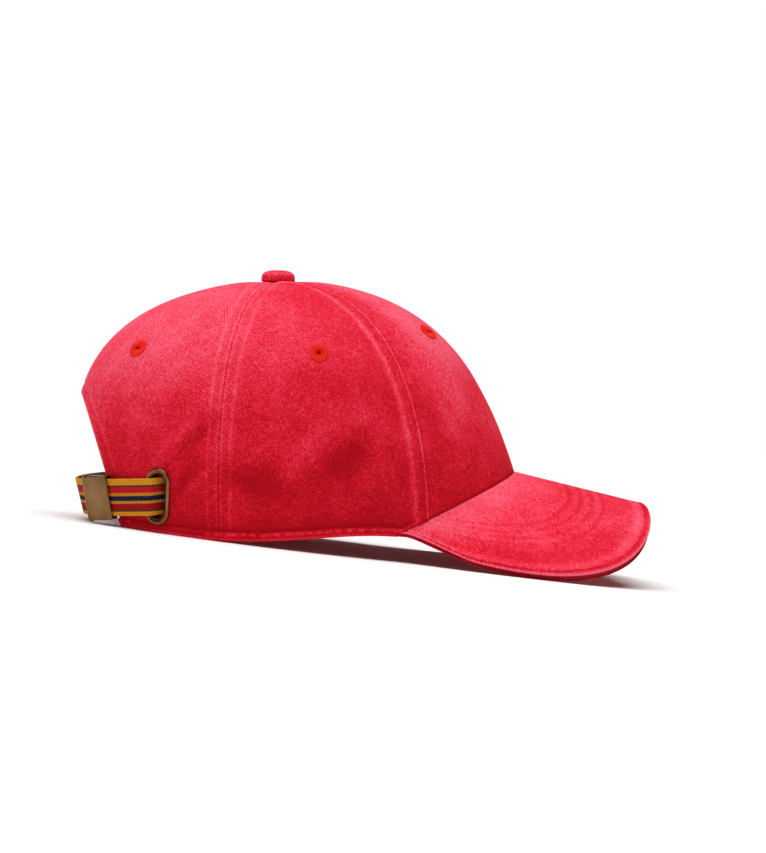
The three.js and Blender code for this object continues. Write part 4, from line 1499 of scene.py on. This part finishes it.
@dataclass
class Strip:
    """A flat strip with rounded edges along the strap's line: the base of the strap and the tab."""

    width: float
    thickness: float
    across: int
    end_wear: float = 0.4
    edge_steps: int = 7

    def sweep(self, angle: Array, under: Array, dress: Dress, wear: Array | float) -> None:
        """Carries the strip's section along its stations.

        Args:
            angle: Hem angles of the stations.
            under: Heights of the under face above the cloth.
            dress: Name, node, material and slot.
            wear: Worn colour of the stations; for the strap, painted shade.
        """
        origin, _, up, normal = SHAPE.strap_frame(angle)
        half, edge = self.width / 2.0, self.thickness / 2.0
        turn = np.linspace(-pi / 2.0, pi / 2.0, self.edge_steps)
        flat = np.linspace(edge - half, half - edge, self.across)
        side = half - edge + edge * np.cos(turn)
        rounding = edge + edge * np.sin(turn)
        widths = np.concatenate([flat, side, flat[::-1], -side[::-1], flat[:1]])[:, None]
        faces = (np.zeros(self.across), rounding, np.full(self.across, self.thickness), rounding[::-1], [0.0])
        lifts = np.concatenate(faces)[:, None]
        points = from_axes((origin, 0.0, up, normal), np.zeros(1), widths, under + lifts)
        weave = joined(travelled(origin), half + widths)
        ends = [end_cap(points[:-1, end], self.end_wear) for end in (0, -1)]
        build_object([Grid(points, weave, wear), *ends], dress)


@dataclass
class StrapRun(Strip):
    """The strap: knots with a distance from the opening's corner and a height above the cloth."""

    width: float = 18.3
    thickness: float = 1.4
    across: int = 38
    sewn_length: float = 24.0
    tail_length: float = 24.0
    grommet_room: float = 1.25
    curve_room: float = 0.65
    clasp_start: float = -15.0
    clasp_length: float = 17.0
    clasp_clear: float = 0.8
    clasp_plate: float = 0.8
    twist_room: float = 0.25
    corner_lead: float = 4.0
    mouth_shade: float = 1.6
    mouth_back: float = 1.4
    mouth_dark: float = 0.85
    # Stations between one knot and the next.
    stations: tuple = (24, 64, 8, 16, 8, 16, 40)

    def knots(self) -> list:
        """Hem angles and heights of the strap's under face along its run."""
        gap, grommet = SHAPE.gap, Grommet()
        on_clasp = gap + self.clasp_clear + self.clasp_plate + gap + self.twist_room
        on_rim = grommet.proud + self.curve_room + gap
        inside = -SHAPE.cloth_wall - gap - self.thickness
        tail = -SHAPE.cloth_wall - self.grommet_room - 2.5 * gap - self.thickness
        slot_end = grommet.distance + grommet.slot
        right_side = (
            (self.clasp_start, on_clasp),
            (self.clasp_start + self.clasp_length, on_clasp),
            (grommet.distance - grommet.width / 2.0 - 1.0, on_rim),
            (grommet.distance - grommet.slot + 0.5, on_rim),
            (slot_end - 1.6, tail),
            (slot_end + self.tail_length, tail),
        )
        return [
            (SHAPE.angle_from_corner(self.sewn_length), inside),
            (SHAPE.angle_from_corner(0.01) + radians(self.corner_lead), inside),
            *((SHAPE.right_angle_from_corner(distance), height) for distance, height in right_side),
        ]

    def build(self) -> None:
        """Makes the strap along its line, with painted shade where it goes into the slot."""
        knots = self.knots()
        angles, unders = [], []
        for (start, low), (end, high), count in zip(knots, knots[1:], self.stations):
            share = np.linspace(0.0, 1.0, count, endpoint=False)
            angles.append(mix(start, end, share))
            unders.append(mix(low, high, smoothstep(share, 0.0, 1.0)))
        angle = np.append(np.concatenate(angles), knots[-1][0])
        under = np.append(np.concatenate(unders), knots[-1][1])
        grommet = Grommet()
        # Painted shade on the strap where it goes into the grommet's slot.
        mouth = SHAPE.right_angle_from_corner(grommet.distance + grommet.slot - self.mouth_back)
        from_mouth = (angle - mouth) * SHAPE.crown_width / 2.0
        light = 1.0 - self.mouth_dark * bump(from_mouth, 0.0, self.mouth_shade)
        self.sweep(angle, under, Dress("striped_strap", "strap", "striped_webbing", "webbing"), light)


@dataclass
class ClaspTab(Strip):
    """Cloth tab from inside the right back panel to the clasp's base plate."""

    width: float = 17.0
    thickness: float = 1.1
    across: int = 12
    sewn_length: float = 14.0
    stations: int = 40
    wear: float = 0.4

    def build(self) -> None:
        """Makes the tab along the strap's line, straight from stop to stop."""
        inside = -SHAPE.cloth_wall - SHAPE.gap - self.thickness
        stops = ((self.sewn_length, inside), (-4.0, inside), (-9.0, -self.thickness))
        stops += ((StrapRun().clasp_start + 1.0, -self.thickness),)
        knots = np.array([(SHAPE.right_angle_from_corner(distance), height) for distance, height in stops])
        number = np.arange(len(stops))
        share = np.linspace(0.0, len(stops) - 1.0, self.stations)
        angle, under = (np.interp(share, number, column) for column in knots.T)
        self.sweep(angle, under, Dress("tab_cloth", "clasp_tab", "washed_twill", "twill"), self.wear)


@dataclass
class Clasp:
    """The clasp's CAD pieces, with the width of their edges' rounding in millimetres."""

    roundings: tuple = (("clasp_frame", 0.2), ("clasp_pin", 0.2), ("clasp_lever", 0.4))
    sharp: float = 35.0

    def build(self) -> None:
        """Gives the pieces their brass and rounded edges."""
        for node, width in self.roundings:
            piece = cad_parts[node]
            for place in piece.material_slots:
                place.material = bpy.data.materials["antique_brass"]
            rounding = piece.modifiers.new("rounding", "BEVEL")
            rounding.width = width * MM
            rounding.segments = 3
            rounding.limit_method = "ANGLE"
            rounding.angle_limit = radians(self.sharp)
            log.info("%s: brass", node)


@dataclass
class Studio:
    """Pale floor, white horizon, soft lights and the camera at the photograph's angle."""

    floor_half: float = 30.0
    sky_level: float = 0.04
    sky_white: tuple = (0.18, 0.25)
    sun_power: float = 3.3
    sun_spread: float = 60.0
    sun_from: tuple = (-0.1, -0.12, 1.0)
    target: tuple = (0.0, 0.0, 0.060)
    yaw: float = -5.0
    elevation: float = 0.5
    distance: float = 1.6
    pixels_per_mm: float = 2.0
    image: tuple = (766, 853)
    shift: tuple = (-16.5, 4.0)
    sensor: float = 36.0

    def link(self, name: str, data: bpy.types.ID) -> bpy.types.Object:
        """Adds an object to the scene."""
        made = bpy.data.objects.new(name, data)
        bpy.context.scene.collection.objects.link(made)
        return made

    def floor_sheet(self) -> None:
        """Makes the pale floor."""
        half = self.floor_half
        corners = [(-half, -half, 0.0), (half, -half, 0.0), (half, half, 0.0), (-half, half, 0.0)]
        mesh = bpy.data.meshes.new("studio_floor")
        mesh.from_pydata(corners, [], [(0, 1, 2, 3)])
        mesh.materials.append(bpy.data.materials["pale_floor"])
        self.link("studio_floor", mesh)

    def sky(self) -> None:
        """Makes a white horizon, darker above it, so that the light comes mostly from overhead."""
        world = bpy.data.worlds.new("studio")
        world.use_nodes = True
        kit = NodeKit(world.node_tree)
        place = kit.node("TexCoord").outputs["Generated"]
        height = kit.node("SeparateXYZ", {"Vector": place}).outputs["Z"]
        colours = ((1.0, 1.0, 1.0), (self.sky_level,) * 3)
        colour = kit.ramp(height, list(zip(self.sky_white, colours)))
        kit.tree.links.new(colour, kit.tree.nodes["Background"].inputs["Color"])
        bpy.context.scene.world = world

    def sun(self) -> None:
        """Adds the broad overhead light."""
        data = bpy.data.lights.new("overhead", "SUN")
        data.energy = self.sun_power
        data.angle = radians(self.sun_spread)
        made = self.link("overhead", data)
        made.rotation_euler = Vector(self.sun_from).to_track_quat("Z", "Y").to_euler()

    def camera(self) -> None:
        """Puts the camera at the photograph's angle, rolled so that the cap sits as it is worn there."""
        azimuth, rise = radians(self.yaw), radians(self.elevation)
        back = Vector((sin(azimuth) * cos(rise), -cos(azimuth) * cos(rise), sin(rise)))
        right = Vector((cos(azimuth), sin(azimuth), 0.0))
        up = back.cross(right)
        roll = -REST.turn
        turned_right = right * cos(roll) + up * sin(roll)
        turned_up = up * cos(roll) - right * sin(roll)
        rotation = Matrix((turned_right, turned_up, back)).transposed().to_4x4()
        scale = MM / self.pixels_per_mm
        aim = Vector(self.target) - turned_right * self.shift[0] * scale + turned_up * self.shift[1] * scale
        data = bpy.data.cameras.new("camera")
        data.sensor_width = self.sensor
        data.lens = self.sensor * self.distance / (max(self.image) * scale)
        made = self.link("camera", data)
        made.matrix_world = Matrix.Translation(aim + back * self.distance) @ rotation
        bpy.context.scene.camera = made

    def build(self) -> None:
        """Makes the studio."""
        self.floor_sheet()
        self.sky()
        self.sun()
        bpy.context.scene.view_settings.view_transform = "Standard"
        self.camera()


FINISHES = (
    Twill(
        name="washed_twill",
        deep=(0.42, 0.003, 0.009),
        middle=(0.72, 0.009, 0.025),
        worn=(0.84, 0.03, 0.068),
        bloom_and_sheen=(0.95, 0.15, 0.23),
    ),
    Twill(
        name="band_twill",
        deep=(0.5, 0.003, 0.01),
        middle=(0.74, 0.006, 0.02),
        worn=(0.84, 0.02, 0.05),
        bloom_and_sheen=(0.92, 0.08, 0.13),
        speckle=0.7,
    ),
    Twill(
        name="strip_twill",
        deep=(0.17, 0.004, 0.012),
        middle=(0.3, 0.007, 0.02),
        worn=(0.46, 0.03, 0.05),
        bloom_and_sheen=(0.62, 0.12, 0.16),
        speckle=1.1,
    ),
    Brass(),
    Webbing(),
    Thread(),
    Plain("pale_floor", (0.95, 0.95, 0.95)),
)


def main() -> None:
    """Builds the finishes, the cap and its studio in order."""
    logging.basicConfig(level=logging.INFO, format="%(message)s")
    for finish in FINISHES:
        finish.build()
    pieces = [kind(place, side) for place in Place for side in Side for kind in (CrownPanel, Eyelet)]
    pieces += [Button(), Visor(), Sweatband(), StrapRun(), Grommet(), ClaspTab(), Clasp(), Studio()]
    for piece in pieces:
        piece.build()


if __name__ == "__main__":
    main()
